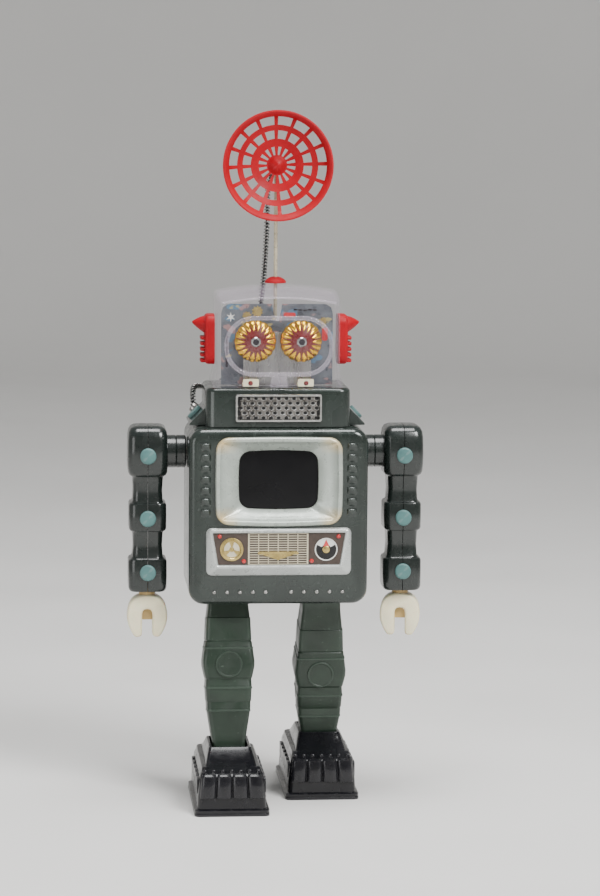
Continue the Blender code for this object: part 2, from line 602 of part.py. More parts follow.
# ---------------------------------------------------------------- legs and boots
LEG_STATIONS = ((8.6, 10.1, 9.0), (15.5, 10.2, 9.4), (26.0, 12.0, 10.4), (40.0, 12.8, 10.8),
                (49.0, 14.5, 11.4), (58.5, 12.9, 10.8), (62.5, 12.7, 10.6), (70.5, 11.6, 10.0),
                (92.0, 8.7, 8.1), (100.0, 8.4, 7.7))
BOOT_STATIONS = ((0.0, 19.8, 0.0, 0.0, 3.0), (2.8, 19.8, 0.0, 0.0, 3.0), (3.4, 18.6, 1.8, 1.8, 2.6),
                 (9.0, 18.2, 2.2, 2.0, 2.6), (20.8, 16.5, 4.2, 3.0, 2.6), (23.8, 15.0, 9.0, 3.6, 2.6),
                 (24.3, 12.6, 10.6, 14.0, 2.6), (32.4, 10.9, 21.8, 21.8, 1.8))


def make_leg(side, sign):
    """The leg hangs on its crank pin. 'drop' is measured down the leg from that pin."""
    x = sign * LEG_X
    hip = Vector((x, sign * CRANK_THROW_Y, CRANK_Z - sign * CRANK_THROW_Z))
    lean = -sign * LEG_LEAN
    hanger = empty(side + "_hip", hip, -lean)
    loops = []
    for wall in (0.0, 0.9):
        ordered = LEG_STATIONS if wall == 0.0 else LEG_STATIONS[::-1]
        for drop, half_x, half_y in ordered:
            outline = rounded_rect(2 * (half_x - wall), 2 * (half_y - wall), 3.0 - wall, steps=2)
            loops.append([(u, v, -drop) for u, v in outline])
    skin(side + "_leg_shell", loops, "leg_tin", ring=True, parent=hanger)
    bar = rounded_rect(8.0, ANKLE_DROP + 11.0, 3.9, (0, -ANKLE_DROP / 2 - 0.5))
    lever = plate(side + "_leg_lever", "X", -0.8, 0.8, bar, [circle(2.2, 16)], "steel", parent=hanger)
    pin = [(-11.3, 0), (-11.3, 1.8), (11.3, 1.8), (11.3, 0)]
    weld(lever, turned(side + "_ankle_pin", "X", (0, -ANKLE_DROP), pin, "steel", 16, parent=hanger))
    return hip + Vector((0, sign * ANKLE_DROP * math.sin(LEG_LEAN), -ANKLE_DROP * math.cos(LEG_LEAN)))


def boot_loops(ankle_x, ankle_y, wall):
    """Level loops; each station gives height, half width and how far toe and heel are set back."""
    loops = []
    for z, half_x, toe, heel, radius in BOOT_STATIONS:
        front = ankle_y - BOOT_HALF_LENGTH + toe + wall
        rear = ankle_y + BOOT_HALF_LENGTH - heel - wall
        height = z if z in (0.0, BOOT_STATIONS[-1][0]) else z - wall * 0.8
        outline = rounded_rect(2 * (half_x - wall), rear - front, radius, (ankle_x, (front + rear) / 2), 2)
        loops.append([(u, v, height) for u, v in outline])
    return loops


def make_boot(side, ankle):
    x, y = ankle.x, ankle.y
    skin(side + "_boot", boot_loops(x, y, 0.0) + boot_loops(x, y, 1.2)[::-1], "boot_plastic", ring=True,
         origin=ankle)
    windows = [rounded_rect(17.0, 8.4, 0.6, (x, y + end * ROLLER_OFFSET)) for end in (-1, 1)]
    sole_outline = rounded_rect(33.6, 2 * BOOT_HALF_LENGTH - 8.0, 2.0, (x, y))
    sole = plate(side + "_sole", "Z", 0.9, 2.1, sole_outline, windows, "steel", origin=ankle)
    base, rail_top, tower_top = 1.6, 6.4, 22.0
    rail = [(y - 27, base), (y + 27, base), (y + 27, rail_top), (y + 5.2, rail_top), (y + 5.2, tower_top),
            (y - 5.2, tower_top), (y - 5.2, rail_top), (y - 27, rail_top)]
    roller_z = ROLLER_RADIUS + 0.15
    holes = [slot_hole(4.4, 9.6, 20.7, y)]
    holes += [circle(1.25, 12, (y + end * ROLLER_OFFSET, roller_z)) for end in (-1, 1)]
    for edge, inner in (("a", -11.4), ("b", 10.2)):
        name = "_".join((side, "rail", edge))
        weld(sole, plate(name, "X", x + inner, x + inner + 1.2, rail, holes, "steel", origin=ankle))
    for name, end in (("front", -1), ("rear", 1)):
        centre = (y + end * ROLLER_OFFSET, roller_z)
        profile = [(x - 11.2, 0), (x - 11.2, 0.9), (x - 7.6, 0.9), (x - 7.6, ROLLER_RADIUS),
                   (x + 7.6, ROLLER_RADIUS), (x + 7.6, 0.9), (x + 11.2, 0.9), (x + 11.2, 0)]
        turned("_".join((side, name, "roller")), "X", centre, profile, "rubber", 12,
               origin=(x, centre[0], centre[1]))


# ---------------------------------------------------------------- clockwork
def motor_outline():
    return rounded_rect(44, 74, 4, (1, 154))


def make_motor_plates():
    bearings = [circle(2.3, 16, (0, CRANK_Z)), circle(2.3, 16, (0, BARREL_Z)),
                circle(1.2, 12, (GOVERNOR_Y, CRANK_Z)), circle(1.8, 12, (DRUM_Y, DRUM_Z)),
                circle(SHAFT_RADIUS + GAP, 16, (0, SHOULDER_Z))]
    left = plate("left_motor_plate", "X", -PLATE_OUT, -PLATE_IN, motor_outline(), bearings, "steel")
    plate("right_motor_plate", "X", PLATE_IN, PLATE_OUT, motor_outline(), bearings, "steel")
    for number, place in enumerate(((-17, 124), (19.5, 168), (-17.5, 158.5))):
        pillar = [(-PLATE_IN - 0.5, 0), (-PLATE_IN - 0.5, 1.5), (PLATE_IN - GAP, 1.5), (PLATE_IN - GAP, 0)]
        weld(left, turned("motor_pillar_%d" % number, "X", place, pillar, "steel", 10))


def spur(name, centre, teeth, start, stop, paint, phase=0.0, bore=None):
    holes = [circle(bore, 16, centre)] if bore else []
    return plate(name, "X", start, stop, gear_outline(teeth, centre, phase), holes, paint)


def make_barrel():
    centre = (0, BARREL_Z)
    drum = [(-17.0, 2.3), (-17.0, 6.0), (-12.9, 6.0), (-12.9, 16.5), (7.0, 16.5), (7.0, 15.3), (-11.7, 15.3),
            (-11.7, 2.3)]
    barrel = turned("spring_barrel", "X", centre, drum, "brass", 28, closed=True, origin=(0, 0, BARREL_Z))
    wheel = spur("barrel_teeth", centre, BARREL_TEETH, GEAR_LEFT, GEAR_RIGHT, "brass", BARREL_PHASE, 4.0)
    weld(barrel, wheel)
    arbor = [(-22.2, 0), (-22.2, 2.0), (16.5, 2.0), (16.5, 12.0), (18.0, 12.0), (18.0, 2.0), (22.2, 2.0),
             (22.2, 0)]
    turned("spring_arbor", "X", centre, arbor, "steel", 24, origin=(0, 0, BARREL_Z))


def make_mainspring():
    turns, steps, inner, outer, strip = 4, 12, 3.0, 13.9, 0.9
    total = turns * steps
    edges = []
    for extra in (0.0, strip):
        edge = []
        for i in range(total + 1):
            angle = 2 * math.pi * i / steps
            radius = inner + (outer - inner) * i / total + extra
            edge.append((radius * math.cos(angle), BARREL_Z + radius * math.sin(angle)))
        edges.append(edge)
    plate("mainspring", "X", -10.8, 5.6, edges[0] + edges[1][::-1], [], "steel", origin=(0, 0, BARREL_Z))


def make_crankshaft():
    centre = (0, CRANK_Z)
    shaft = [(-23.4, 0), (-23.4, 6.4), (-22.1, 6.4), (-22.1, 2.0), (22.1, 2.0), (22.1, 6.4), (23.4, 6.4),
             (23.4, 0)]
    crank = turned("crankshaft", "X", centre, shaft, "steel", 24, origin=(0, 0, CRANK_Z))
    phase = meshing_phase(BARREL_TEETH, BARREL_PHASE, CRANK_TEETH, -math.pi / 2)
    weld(crank, spur("crank_pinion", centre, CRANK_TEETH, GEAR_LEFT, GEAR_RIGHT, "steel", phase))
    weld(crank, spur("crank_wheel", centre, CRANK_WHEEL_TEETH, 9.8, 11.8, "steel"))
    for side, sign in SIDES:
        place = (sign * CRANK_THROW_Y, CRANK_Z - sign * CRANK_THROW_Z)
        pin = [(sign * 23.0, 0), (sign * 23.0, 1.7), (sign * 24.1, 1.7), (sign * 24.1, 0)]
        weld(crank, turned(side + "_crank_pin", "X", place, pin, "steel", 12))


def make_governor():
    centre = (GOVERNOR_Y, CRANK_Z)
    arbor = [(-22.0, 0), (-22.0, 0.9), (22.0, 0.9), (22.0, 0)]
    fan = turned("governor", "X", centre, arbor, "steel", 12, origin=(0, GOVERNOR_Y, CRANK_Z))
    phase = meshing_phase(CRANK_WHEEL_TEETH, 0.0, GOVERNOR_TEETH, 0.0)
    weld(fan, spur("governor_pinion", centre, GOVERNOR_TEETH, 9.8, 11.8, "brass", phase))
    low, high = (-8, GOVERNOR_Y - 6.6, CRANK_Z - 0.4), (4, GOVERNOR_Y + 6.6, CRANK_Z + 0.4)
    weld(fan, box("fan_blade", low, high, "brass"))


def make_picture_drum():
    centre = (DRUM_Y, DRUM_Z)
    profile = [(-22.0, 0), (-22.0, 1.5), (-12.9, 1.5), (-12.9, 10.4), (16.8, 10.4), (16.8, 1.5), (22.0, 1.5),
               (22.0, 0)]
    drum = turned("picture_drum", "X", centre, profile, "card_brown", 24, origin=(0, DRUM_Y, DRUM_Z))
    direction = math.atan2(DRUM_Z - BARREL_Z, DRUM_Y)
    phase = meshing_phase(BARREL_TEETH, BARREL_PHASE, DRUM_TEETH, direction)
    weld(drum, spur("drum_teeth", centre, DRUM_TEETH, GEAR_LEFT, GEAR_RIGHT, "brass", phase))
    weld(drum, turned("drum_hub", "X", centre, [(-14.0, 0), (-14.0, 4), (-12.0, 4), (-12.0, 0)], "brass", 12))


def make_key():
    shaft = [(8.6, 0), (8.6, 3.6), (13.4, 3.6), (13.4, 2.0), (38.0, 2.0), (38.0, 0)]
    key = turned("winding_key", "Y", (KEY_X, BARREL_Z), shaft, "steel", 16, origin=(KEY_X, 30, BARREL_Z))
    for sign in (-1, 1):
        centre_x = KEY_X + sign * 7.4
        outline, eye = rounded_rect(11.6, 13, 5.2, (centre_x, 43.4)), circle(2.6, 14, (centre_x, 43.8))
        wing = plate("key_wing_%+d" % sign, "Z", BARREL_Z - 0.8, BARREL_Z + 0.8, outline, [eye], "steel")
        weld(key, wing)
    weld(key, box("key_web", (KEY_X - 4, 36.9, BARREL_Z - 0.8), (KEY_X + 4, 44, BARREL_Z + 0.8), "steel"))


def make_start_lever():
    """Sliding stop: a knob outside the back, a neck through the slot and a finger by the fan."""
    x, z = -16.5, 126.0
    knob = plate("start_lever", "Y", 30.4, 33.4, rounded_rect(7, 9, 2.0, (x, z)), [], "red_plastic",
                 origin=(x, 30, z))
    weld(knob, box("lever_neck", (x - 1.5, 27.4, z - 0.8), (x + 1.5, 31.0, z + 0.8), "steel"))
    weld(knob, box("lever_foot", (x - 2.5, 27.0, z - 7.0), (x + 2.5, 28.2, z + 3.5), "steel"))
    weld(knob, box("lever_finger", (x + 0.5, 20.4, z - 6.5), (x + 2.5, 27.4, z - 4.5), "steel"))


# ---------------------------------------------------------------- assembly
for old in list(bpy.data.objects):
    bpy.data.objects.remove(old)
MATERIALS = {name: material(name, *values) for name, values in PAINTS.items()}

make_torso()
make_bezel()
make_panel()
make_neck()
make_grille()
make_head()
make_eyes()
make_ears()
make_dish()
make_mast()
make_drive_spring()
for arm_side, arm_sign in SIDES:
    make_arm(arm_side, arm_sign)
    make_claw(arm_side, arm_sign)
    make_boot(arm_side, make_leg(arm_side, arm_sign))
make_motor_plates()
make_barrel()
make_mainspring()
make_crankshaft()
make_governor()
make_picture_drum()
make_key()
make_start_lever()
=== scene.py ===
import json
from math import cos, pi, radians, sin

import bmesh
import bpy
from mathutils import Euler, Matrix, Quaternion, Vector, geometry


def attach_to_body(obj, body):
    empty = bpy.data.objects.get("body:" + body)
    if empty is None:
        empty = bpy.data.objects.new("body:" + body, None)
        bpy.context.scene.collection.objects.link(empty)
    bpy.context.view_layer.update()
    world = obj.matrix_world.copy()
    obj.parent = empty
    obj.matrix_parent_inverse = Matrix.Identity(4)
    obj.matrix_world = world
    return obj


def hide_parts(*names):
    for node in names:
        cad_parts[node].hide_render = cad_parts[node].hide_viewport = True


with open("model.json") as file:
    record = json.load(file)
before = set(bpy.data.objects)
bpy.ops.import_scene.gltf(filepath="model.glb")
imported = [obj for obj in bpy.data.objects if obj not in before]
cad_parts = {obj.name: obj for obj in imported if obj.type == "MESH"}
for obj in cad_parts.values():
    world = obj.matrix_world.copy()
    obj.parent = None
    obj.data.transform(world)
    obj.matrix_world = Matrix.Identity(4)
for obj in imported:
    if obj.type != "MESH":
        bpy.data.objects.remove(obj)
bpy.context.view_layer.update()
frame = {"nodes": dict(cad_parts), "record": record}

MM = 0.001
FINE_GRAIN = 900.0
SIDES = (("left", -1.0), ("right", 1.0))
TORSO_WIDTH, TORSO_DEPTH, TORSO_BOTTOM, TORSO_TOP = 94.6, 60.0, 108.3, 201.8
TORSO_MID = (TORSO_BOTTOM + TORSO_TOP) / 2
FACE_Y = -TORSO_DEPTH / 2
SCREEN_MID = 174.4
TRAY_MID = 136.9
NECK_HALF_WIDTH, NECK_HALF_DEPTH, NECK_BASE, NECK_TOP = 38.2, 24.0, 202.1, 222.6
EYE_X, EYE_Z, EYE_RADIUS = 12.1, 246.9, 11.1
EAR_MID = 246.8
DISH_RADIUS, DISH_Z, DISH_DEPTH = 29.2, 338.8, 10.0
MAST_Y = 4.0
ARM_X, SHOULDER_Z = 68.2, 186.5
LEG_X, LEG_LEAN, ANKLE_DROP = 25.3, radians(9.0), 106.0
HIP_Y, HIP_Z, HIP_RISE = 1.1, 120.0, 3.0
BOOT_HALF_LENGTH = 36.3


# ---------------------------------------------------------------- materials
def add_node(tree, kind, *sources, **settings):
    """New node whose first inputs are linked from sockets or set to values, in order."""
    node = tree.nodes.new(kind)
    for key, value in settings.items():
        setattr(node, key, value)
    for socket, source in zip(node.inputs, sources):
        if isinstance(source, bpy.types.NodeSocket):
            tree.links.new(source, socket)
        else:
            socket.default_value = source
    return node


def combine(tree, operation, *sources):
    return add_node(tree, "ShaderNodeMath", *sources, operation=operation).outputs[0]


def noise(tree, scale, detail, stretch=(1.0, 1.0, 1.0)):
    """Noise value fixed to the piece. Scale is in cells a metre."""
    mapping = add_node(tree, "ShaderNodeMapping", add_node(tree, "ShaderNodeTexCoord").outputs["Object"])
    mapping.inputs["Scale"].default_value = stretch
    texture = add_node(tree, "ShaderNodeTexNoise", mapping.outputs["Vector"])
    texture.inputs["Scale"].default_value = scale
    texture.inputs["Detail"].default_value = detail
    return texture.outputs["Fac"]


def remap(tree, source, low, high, to_low, to_high):
    return add_node(tree, "ShaderNodeMapRange", source, low, high, to_low, to_high).outputs["Result"]


def blend_colour(tree, share, first, second):
    node = add_node(tree, "ShaderNodeMix", share, data_type="RGBA")
    for socket, value in zip(node.inputs[6:8], (first, second)):
        if isinstance(value, tuple):
            socket.default_value = (*value, 1.0)
        else:
            tree.links.new(value, socket)
    return node.outputs[2]


def finish(name, colour, roughness, metallic=0.0, shade=0.75, mottle=90.0, bump=0.05, coat=0.0, specular=0.5,
           subsurface=0.0, scratches=0.0, stretch=(1.0, 1.0, 1.0), worn=None, wear=0.0):
    """Base colour that drifts to a darker shade, worn edges and specks, uneven gloss and fine bump."""
    made = bpy.data.materials.new(name)
    made.use_nodes = True
    tree = made.node_tree
    shader = tree.nodes["Principled BSDF"]
    drift = remap(tree, noise(tree, mottle, 5.0, stretch), 0.35, 0.65, 0.0, 1.0)
    paint = blend_colour(tree, drift, colour, tuple(channel * shade for channel in colour))
    if worn:
        corners = add_node(tree, "ShaderNodeNewGeometry").outputs["Pointiness"]
        edges = remap(tree, corners, 0.53, 0.60, 0.0, wear)
        specks = remap(tree, noise(tree, mottle * 6, 6.0), 0.66, 0.74, 0.0, wear)
        paint = blend_colour(tree, combine(tree, "MAXIMUM", edges, specks), paint, worn)
    gloss = remap(tree, noise(tree, mottle * 2.3, 6.0, stretch), 0.3, 0.7, roughness * 0.75, roughness * 1.3)
    if scratches:
        lines = remap(tree, noise(tree, 260.0, 8.0, (1.0, 6.0, 0.15)), 0.60, 0.72, 0.0, scratches)
        gloss = combine(tree, "ADD", gloss, lines)
    relief = add_node(tree, "ShaderNodeBump")
    relief.inputs["Strength"].default_value = bump
    relief.inputs["Distance"].default_value = 0.4 * MM
    tree.links.new(noise(tree, FINE_GRAIN, 3.0, stretch), relief.inputs["Height"])
    tree.links.new(paint, shader.inputs["Base Color"])
    tree.links.new(gloss, shader.inputs["Roughness"])
    tree.links.new(relief.outputs["Normal"], shader.inputs["Normal"])
    for socket, value in (("Metallic", metallic), ("Coat Weight", coat), ("Coat Roughness", 0.08),
                          ("Specular IOR Level", specular), ("IOR", 1.46), ("Subsurface Weight", subsurface),
                          ("Subsurface Scale", 2 * MM)):
        shader.inputs[socket].default_value = value
    return made


def clear_finish(name, tint, face_alpha, edge_alpha, roughness):
    """Thin clear plastic: see-through face on, denser where it turns away, with fine scuffs."""
    made = finish(name, tint, roughness, shade=0.9, mottle=60.0, bump=0.04, coat=0.6)
    tree = made.node_tree
    facing = add_node(tree, "ShaderNodeLayerWeight", 0.22).outputs["Facing"]
    body = remap(tree, facing, 0.0, 1.0, face_alpha, edge_alpha)
    haze = remap(tree, noise(tree, 130.0, 7.0, (1.0, 1.0, 0.4)), 0.5, 0.8, 0.0, 0.03)
    total = add_node(tree, "ShaderNodeMath", body, haze, operation="ADD", use_clamp=True)
    tree.links.new(total.outputs[0], tree.nodes["Principled BSDF"].inputs["Alpha"])
    return made


def colour_of(made):
    """A finish's node tree, its colour socket and what feeds it now."""
    socket = made.node_tree.nodes["Principled BSDF"].inputs["Base Color"]
    return made.node_tree, socket, socket.links[0].from_socket


def bezel_finish():
    """Silvered ivory paint that has yellowed in the four corners of the screen surround."""
    made = finish("aged_ivory", (0.42, 0.465, 0.42), 0.30, metallic=0.30, shade=0.86, mottle=120.0,
                  bump=0.06, coat=0.3, worn=(0.36, 0.34, 0.28), wear=0.5)
    tree, socket, plain = colour_of(made)
    place = add_node(tree, "ShaderNodeSeparateXYZ", add_node(tree, "ShaderNodeTexCoord").outputs["Object"])
    ends = []
    for axis, middle, reach in (("X", 0.0, 30.5 * MM), ("Z", SCREEN_MID * MM, 20.6 * MM)):
        distance = combine(tree, "ABSOLUTE", combine(tree, "SUBTRACT", place.outputs[axis], middle))
        ends.append(remap(tree, distance, 0.66 * reach, 0.98 * reach, 0.0, 1.0))
    patches = remap(tree, noise(tree, 160.0, 5.0), 0.3, 0.6, 0.35, 1.0)
    yellowed = combine(tree, "MULTIPLY", combine(tree, "MULTIPLY", *ends), patches)
    tree.links.new(blend_colour(tree, yellowed, plain, (0.66, 0.50, 0.24)), socket)
    return made


def litho_finish():
    """Printed tin behind the eyes: blue-grey with blue, pink, straw and dark patches."""
    made = finish("litho_plate", (0.15, 0.17, 0.19), 0.34, metallic=0.35, shade=0.6, mottle=150.0)
    tree, socket, colour = colour_of(made)
    blue, pink, straw, dark = (0.10, 0.22, 0.34), (0.45, 0.24, 0.22), (0.50, 0.42, 0.14), (0.05, 0.06, 0.07)
    for scale, start, tint, share in ((70.0, 0.58, blue, 0.75), (95.0, 0.62, pink, 0.6),
                                      (120.0, 0.64, straw, 0.7), (210.0, 0.62, dark, 0.7)):
        patch = remap(tree, noise(tree, scale, 2.0, (1.0, 3.0, 1.4)), start, start + 0.03, 0.0, share)
        colour = blend_colour(tree, patch, colour, tint)
    tree.links.new(colour, socket)
    return made


# Colour, roughness and whatever differs from finish's defaults.
RECIPES = {
    "green_tin": ((0.020, 0.029, 0.024), 0.25, dict(
        metallic=0.30, shade=0.72, mottle=60.0, coat=0.5, worn=(0.12, 0.14, 0.13), wear=0.35,
        scratches=0.12)),
    "arm_plastic": ((0.010, 0.015, 0.013), 0.26, dict(
        shade=0.7, mottle=70.0, bump=0.04, coat=0.4, scratches=0.10)),
    "leg_tin": ((0.019, 0.034, 0.022), 0.40, dict(
        shade=0.66, mottle=75.0, bump=0.08, worn=(0.10, 0.14, 0.11), wear=0.4, scratches=0.15)),
    "boot_plastic": ((0.006, 0.006, 0.008), 0.24, dict(
        shade=0.7, mottle=80.0, coat=0.3, specular=0.3, worn=(0.04, 0.04, 0.045), wear=0.4, scratches=0.12)),
    "tray_silver": ((0.56, 0.59, 0.57), 0.30, dict(
        metallic=0.35, shade=0.86, mottle=110.0, coat=0.3, worn=(0.30, 0.29, 0.26), wear=0.4)),
    "frame_chrome": ((0.66, 0.66, 0.64), 0.20, dict(metallic=0.95, shade=0.8, mottle=220.0)),
    "screen_black": ((0.004, 0.004, 0.005), 0.22, dict(shade=0.6, mottle=40.0, bump=0.02, specular=0.25)),
    "card_brown": ((0.070, 0.050, 0.040), 0.45, dict(shade=0.7, mottle=260.0)),
    "print_cream": ((0.66, 0.60, 0.44), 0.42, dict(shade=0.8, mottle=240.0, bump=0.04)),
    "print_black": ((0.012, 0.011, 0.012), 0.30, dict(shade=0.7, mottle=150.0, bump=0.03)),
    "print_white": ((0.74, 0.74, 0.70), 0.38, dict(shade=0.88, mottle=200.0, bump=0.03)),
    "gold": ((0.58, 0.44, 0.16), 0.30, dict(metallic=0.75, shade=0.7, mottle=260.0)),
    "gem_red": ((0.60, 0.03, 0.03), 0.14, dict(shade=0.7, mottle=300.0, bump=0.02, coat=0.8)),
    "red_plastic": ((0.38, 0.001, 0.008), 0.46, dict(
        shade=0.8, mottle=70.0, specular=0.2, worn=(0.45, 0.03, 0.04), wear=0.3)),
    "eye_gold": ((0.98, 0.56, 0.015), 0.20, dict(metallic=0.92, shade=0.66, mottle=240.0, coat=0.1)),
    "eye_red": ((0.15, 0.008, 0.004), 0.28, dict(shade=0.7, mottle=260.0, bump=0.04, coat=0.3)),
    "cream_plastic": ((0.93, 0.86, 0.60), 0.34, dict(
        shade=0.9, bump=0.04, coat=0.2, subsurface=0.15, worn=(0.60, 0.45, 0.24), wear=0.5)),
    "teal_plastic": ((0.075, 0.180, 0.175), 0.42, dict(mottle=130.0, worn=(0.16, 0.24, 0.23), wear=0.5)),
    "steel": ((0.44, 0.44, 0.43), 0.28, dict(
        metallic=1.0, mottle=180.0, bump=0.06, stretch=(1.0, 1.0, 0.2), worn=(0.20, 0.13, 0.08), wear=0.3)),
    "brass": ((0.60, 0.43, 0.16), 0.30, dict(metallic=1.0, shade=0.7, mottle=150.0)),
    "rubber": ((0.020, 0.020, 0.020), 0.72, dict(shade=0.7, mottle=200.0, bump=0.15)),
    "mast_steel": ((0.56, 0.50, 0.36), 0.30, dict(metallic=0.3, shade=0.85, mottle=160.0, bump=0.04)),
    "spring_steel": ((0.30, 0.30, 0.29), 0.28, dict(metallic=1.0, shade=0.8, mottle=300.0, bump=0.03)),
    # Darker tan copy of the cream plastic: painted shade on the claw's inner slot wall and painted shadow
    # under the wrist.
    "palm_tan": ((0.50, 0.34, 0.13), 0.42, dict(mottle=200.0, bump=0.04)),
}
PAINTS = {name: finish(name, colour, gloss, **rest) for name, (colour, gloss, rest) in RECIPES.items()}
PAINTS["ivory"] = bezel_finish()
PAINTS["plate_litho"] = litho_finish()
PAINTS["clear_plastic"] = clear_finish("clear_plastic", (0.50, 0.41, 0.52), 0.02, 0.26, 0.05)
# Lighter, denser copy of the clear plastic: painted highlight on the dome's ridges and front edge.
PAINTS["clear_edge"] = clear_finish("clear_edge", (0.74, 0.66, 0.77), 0.10, 0.50, 0.07)
SLOT_OF_PAINT = {slot["slot"]: slot["slot"] for slot in frame["record"]["materials"]}
SLOT_OF_PAINT.update({
    "frame_chrome": "tray_silver", "print_cream": "card_brown", "print_black": "card_brown",
    "print_white": "card_brown", "gold": "brass", "clear_edge": "clear_plastic", "mast_steel": "steel",
    "spring_steel": "steel", "palm_tan": "cream_plastic", "gem_red": "red_plastic", "eye_red": "eye_gold"})


# ---------------------------------------------------------------- building pieces
def placed(name, data):
    made = bpy.data.objects.new(name, data)
    bpy.context.scene.collection.objects.link(made)
    return made


def clean_mesh(name, points, faces, turn=None):
    """Mesh in metres from points in millimetres, doubled points merged and faces turned outwards."""
    mesh = bpy.data.meshes.new(name)
    mesh.from_pydata([Vector(p) * MM for p in points], [], faces)
    shape = bmesh.new()
    shape.from_mesh(mesh)
    bmesh.ops.remove_doubles(shape, verts=shape.verts, dist=2e-7)
    bmesh.ops.recalc_face_normals(shape, faces=shape.faces)
    if turn is not None:
        bmesh.ops.transform(shape, matrix=turn, verts=shape.verts)
    shape.to_mesh(mesh)
    shape.free()
    return mesh


def make_piece(name, points, faces, paint, body, replaces=(), sharp=35.0, bevel=0.0, segments=2, turn=None):
    """Visual piece that rides on a body. 'turn' is a matrix for its points, in metres."""
    mesh = clean_mesh(name, points, faces, turn)
    mesh.materials.append(PAINTS[paint])
    mesh.shade_smooth()
    made = placed(name, mesh)
    if bevel:
        edge = made.modifiers.new("edge", "BEVEL")
        edge.width = bevel * MM
        edge.segments = segments
        edge.limit_method = "ANGLE"
        edge.angle_limit = radians(40)
        edge.harden_normals = True
    mesh.set_sharp_from_angle(angle=radians(sharp))
    attach(made, body, replaces)
    return made


def attach(made, body, replaces=()):
    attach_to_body(made, body)
    if replaces:
        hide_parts(*replaces)


def moved(place, tilt):
    """Matrix in metres that tilts a piece about its origin and carries it to a place in millimetres."""
    return Matrix.LocRotScale(Vector(place) * MM, Euler(tilt), None)


def rounded_rect(width, height, radius, centre=(0.0, 0.0), steps=8):
    points = []
    for sx, sy, start in ((1, 1, 0), (-1, 1, 90), (-1, -1, 180), (1, -1, 270)):
        cx = centre[0] + sx * (width / 2 - radius)
        cy = centre[1] + sy * (height / 2 - radius)
        for step in range(steps + 1):
            angle = radians(start + 90.0 * step / steps)
            points.append((cx + radius * cos(angle), cy + radius * sin(angle)))
    return points


def divided(outline, parts):
    """A rounded rectangle with its four straight stretches cut into parts, so that they can be bowed."""
    points = []
    arc = len(outline) // 4
    for i, (x, y) in enumerate(outline):
        nx, ny = outline[(i + 1) % len(outline)]
        count = parts if (i + 1) % arc == 0 else 1
        points += [(x + (nx - x) * k / count, y + (ny - y) * k / count) for k in range(count)]
    return points


def circle(radius, count=32, centre=(0.0, 0.0), start=0.0):
    turn = 2 * pi / count
    return [(centre[0] + radius * cos(start + turn * i), centre[1] + radius * sin(start + turn * i))
            for i in range(count)]


def on_axis(axis, along, u, v):
    return {"X": (along, u, v), "Y": (u, along, v), "Z": (u, v, along)}[axis]


def upright(outline, y):
    return [(x, y, z) for x, z in outline]


def level(outline, z):
    return [(x, y, z) for x, y in outline]


def skin(loops, ring=False):
    """Points and faces of walls between loops, joined end to start or capped."""
    count = len(loops[0])
    points = [point for loop in loops for point in loop]
    faces = []
    for k in range(len(loops) if ring else len(loops) - 1):
        a, b = k * count, (k + 1) % len(loops) * count
        faces += [(a + i, a + (i + 1) % count, b + (i + 1) % count, b + i) for i in range(count)]
    if not ring:
        faces += [tuple(range(count)), tuple(range(len(points) - count, len(points)))]
    return points, faces


def plate(axis, start, stop, outer, holes=()):
    outlines = [outer] + list(holes)
    flat = [[Vector((u, v, 0)) for u, v in outline] for outline in outlines]
    corners = [point for outline in outlines for point in outline]
    total = len(corners)
    points = [on_axis(axis, along, u, v) for along in (start, stop) for u, v in corners]
    faces = []
    for triangle in geometry.tessellate_polygon(flat):
        faces += [tuple(triangle), tuple(total + i for i in triangle)]
    first = 0
    for outline in outlines:
        count = len(outline)
        for i in range(count):
            a, b = first + i, first + (i + 1) % count
            faces.append((a, b, total + b, total + a))
        first += count
    return points, faces


def turned(axis, centre, profile, count=32, closed=False):
    points, faces = [], []
    for i in range(count):
        angle = 2 * pi * i / count
        points += [on_axis(axis, along, centre[0] + radius * cos(angle), centre[1] + radius * sin(angle))
                   for along, radius in profile]
    size = len(profile)
    for i in range(count):
        a, b = i * size, (i + 1) % count * size
        for k in range(size if closed else size - 1):
            n = (k + 1) % size
            faces.append((a + k, a + n, b + n, b + k))
    return points, faces


def joined(shapes):
    """Several (points, faces) as one."""
    points, faces = [], []
    for more_points, more_faces in shapes:
        start = len(points)
        points += more_points
        faces += [tuple(start + i for i in face) for face in more_faces]
    return points, faces


def swept(path, radius, sides=8, closed=False):
    """Round tube along points of a path that lies in a plane across Y."""
    loops = []
    count = len(path)
    for i, point in enumerate(path):
        before = path[(i - 1) % count] if closed or i else path[0]
        after = path[(i + 1) % count] if closed or i < count - 1 else path[-1]
        tangent = (Vector(after) - Vector(before)).normalized()
        across = Vector((0, 1, 0))
        out = tangent.cross(across).normalized()
        loops.append([Vector(point) + radius * (out * cos(2 * pi * k / sides)
                                                + across * sin(2 * pi * k / sides)) for k in range(sides)])
    return skin(loops, ring=closed)


def dome(centre, radius, height, rings=4, count=14):
    """Low dome on a face that looks towards -Y."""
    x, y, z = centre
    profile = [(y + 0.2, radius)]
    profile += [(y - height * sin(pi / 2 * k / rings), radius * cos(pi / 2 * k / rings))
                for k in range(rings + 1)]
    return turned("Y", (x, z), profile, count)


# ---------------------------------------------------------------- torso
def torso_edge(side, wall):
    """Loops of half the torso box, from the middle seam to the rounded edge of its front or back."""
    loops = []
    radius = 4.0 - wall
    stops = [(side * 0.15, 0.0)]
    for degrees in range(0, 91, 15):
        angle = radians(degrees)
        stops.append((side * (TORSO_DEPTH / 2 - 4.0 + radius * sin(angle)), radius * (1 - cos(angle))))
    for y, inset in stops:
        inset += wall
        outline = rounded_rect(TORSO_WIDTH - 2 * inset, TORSO_TOP - TORSO_BOTTOM - 2 * inset,
                               max(8.0 - inset, 1.0), (0, TORSO_MID))
        loops.append(upright(divided(outline, 6), y))
    return loops


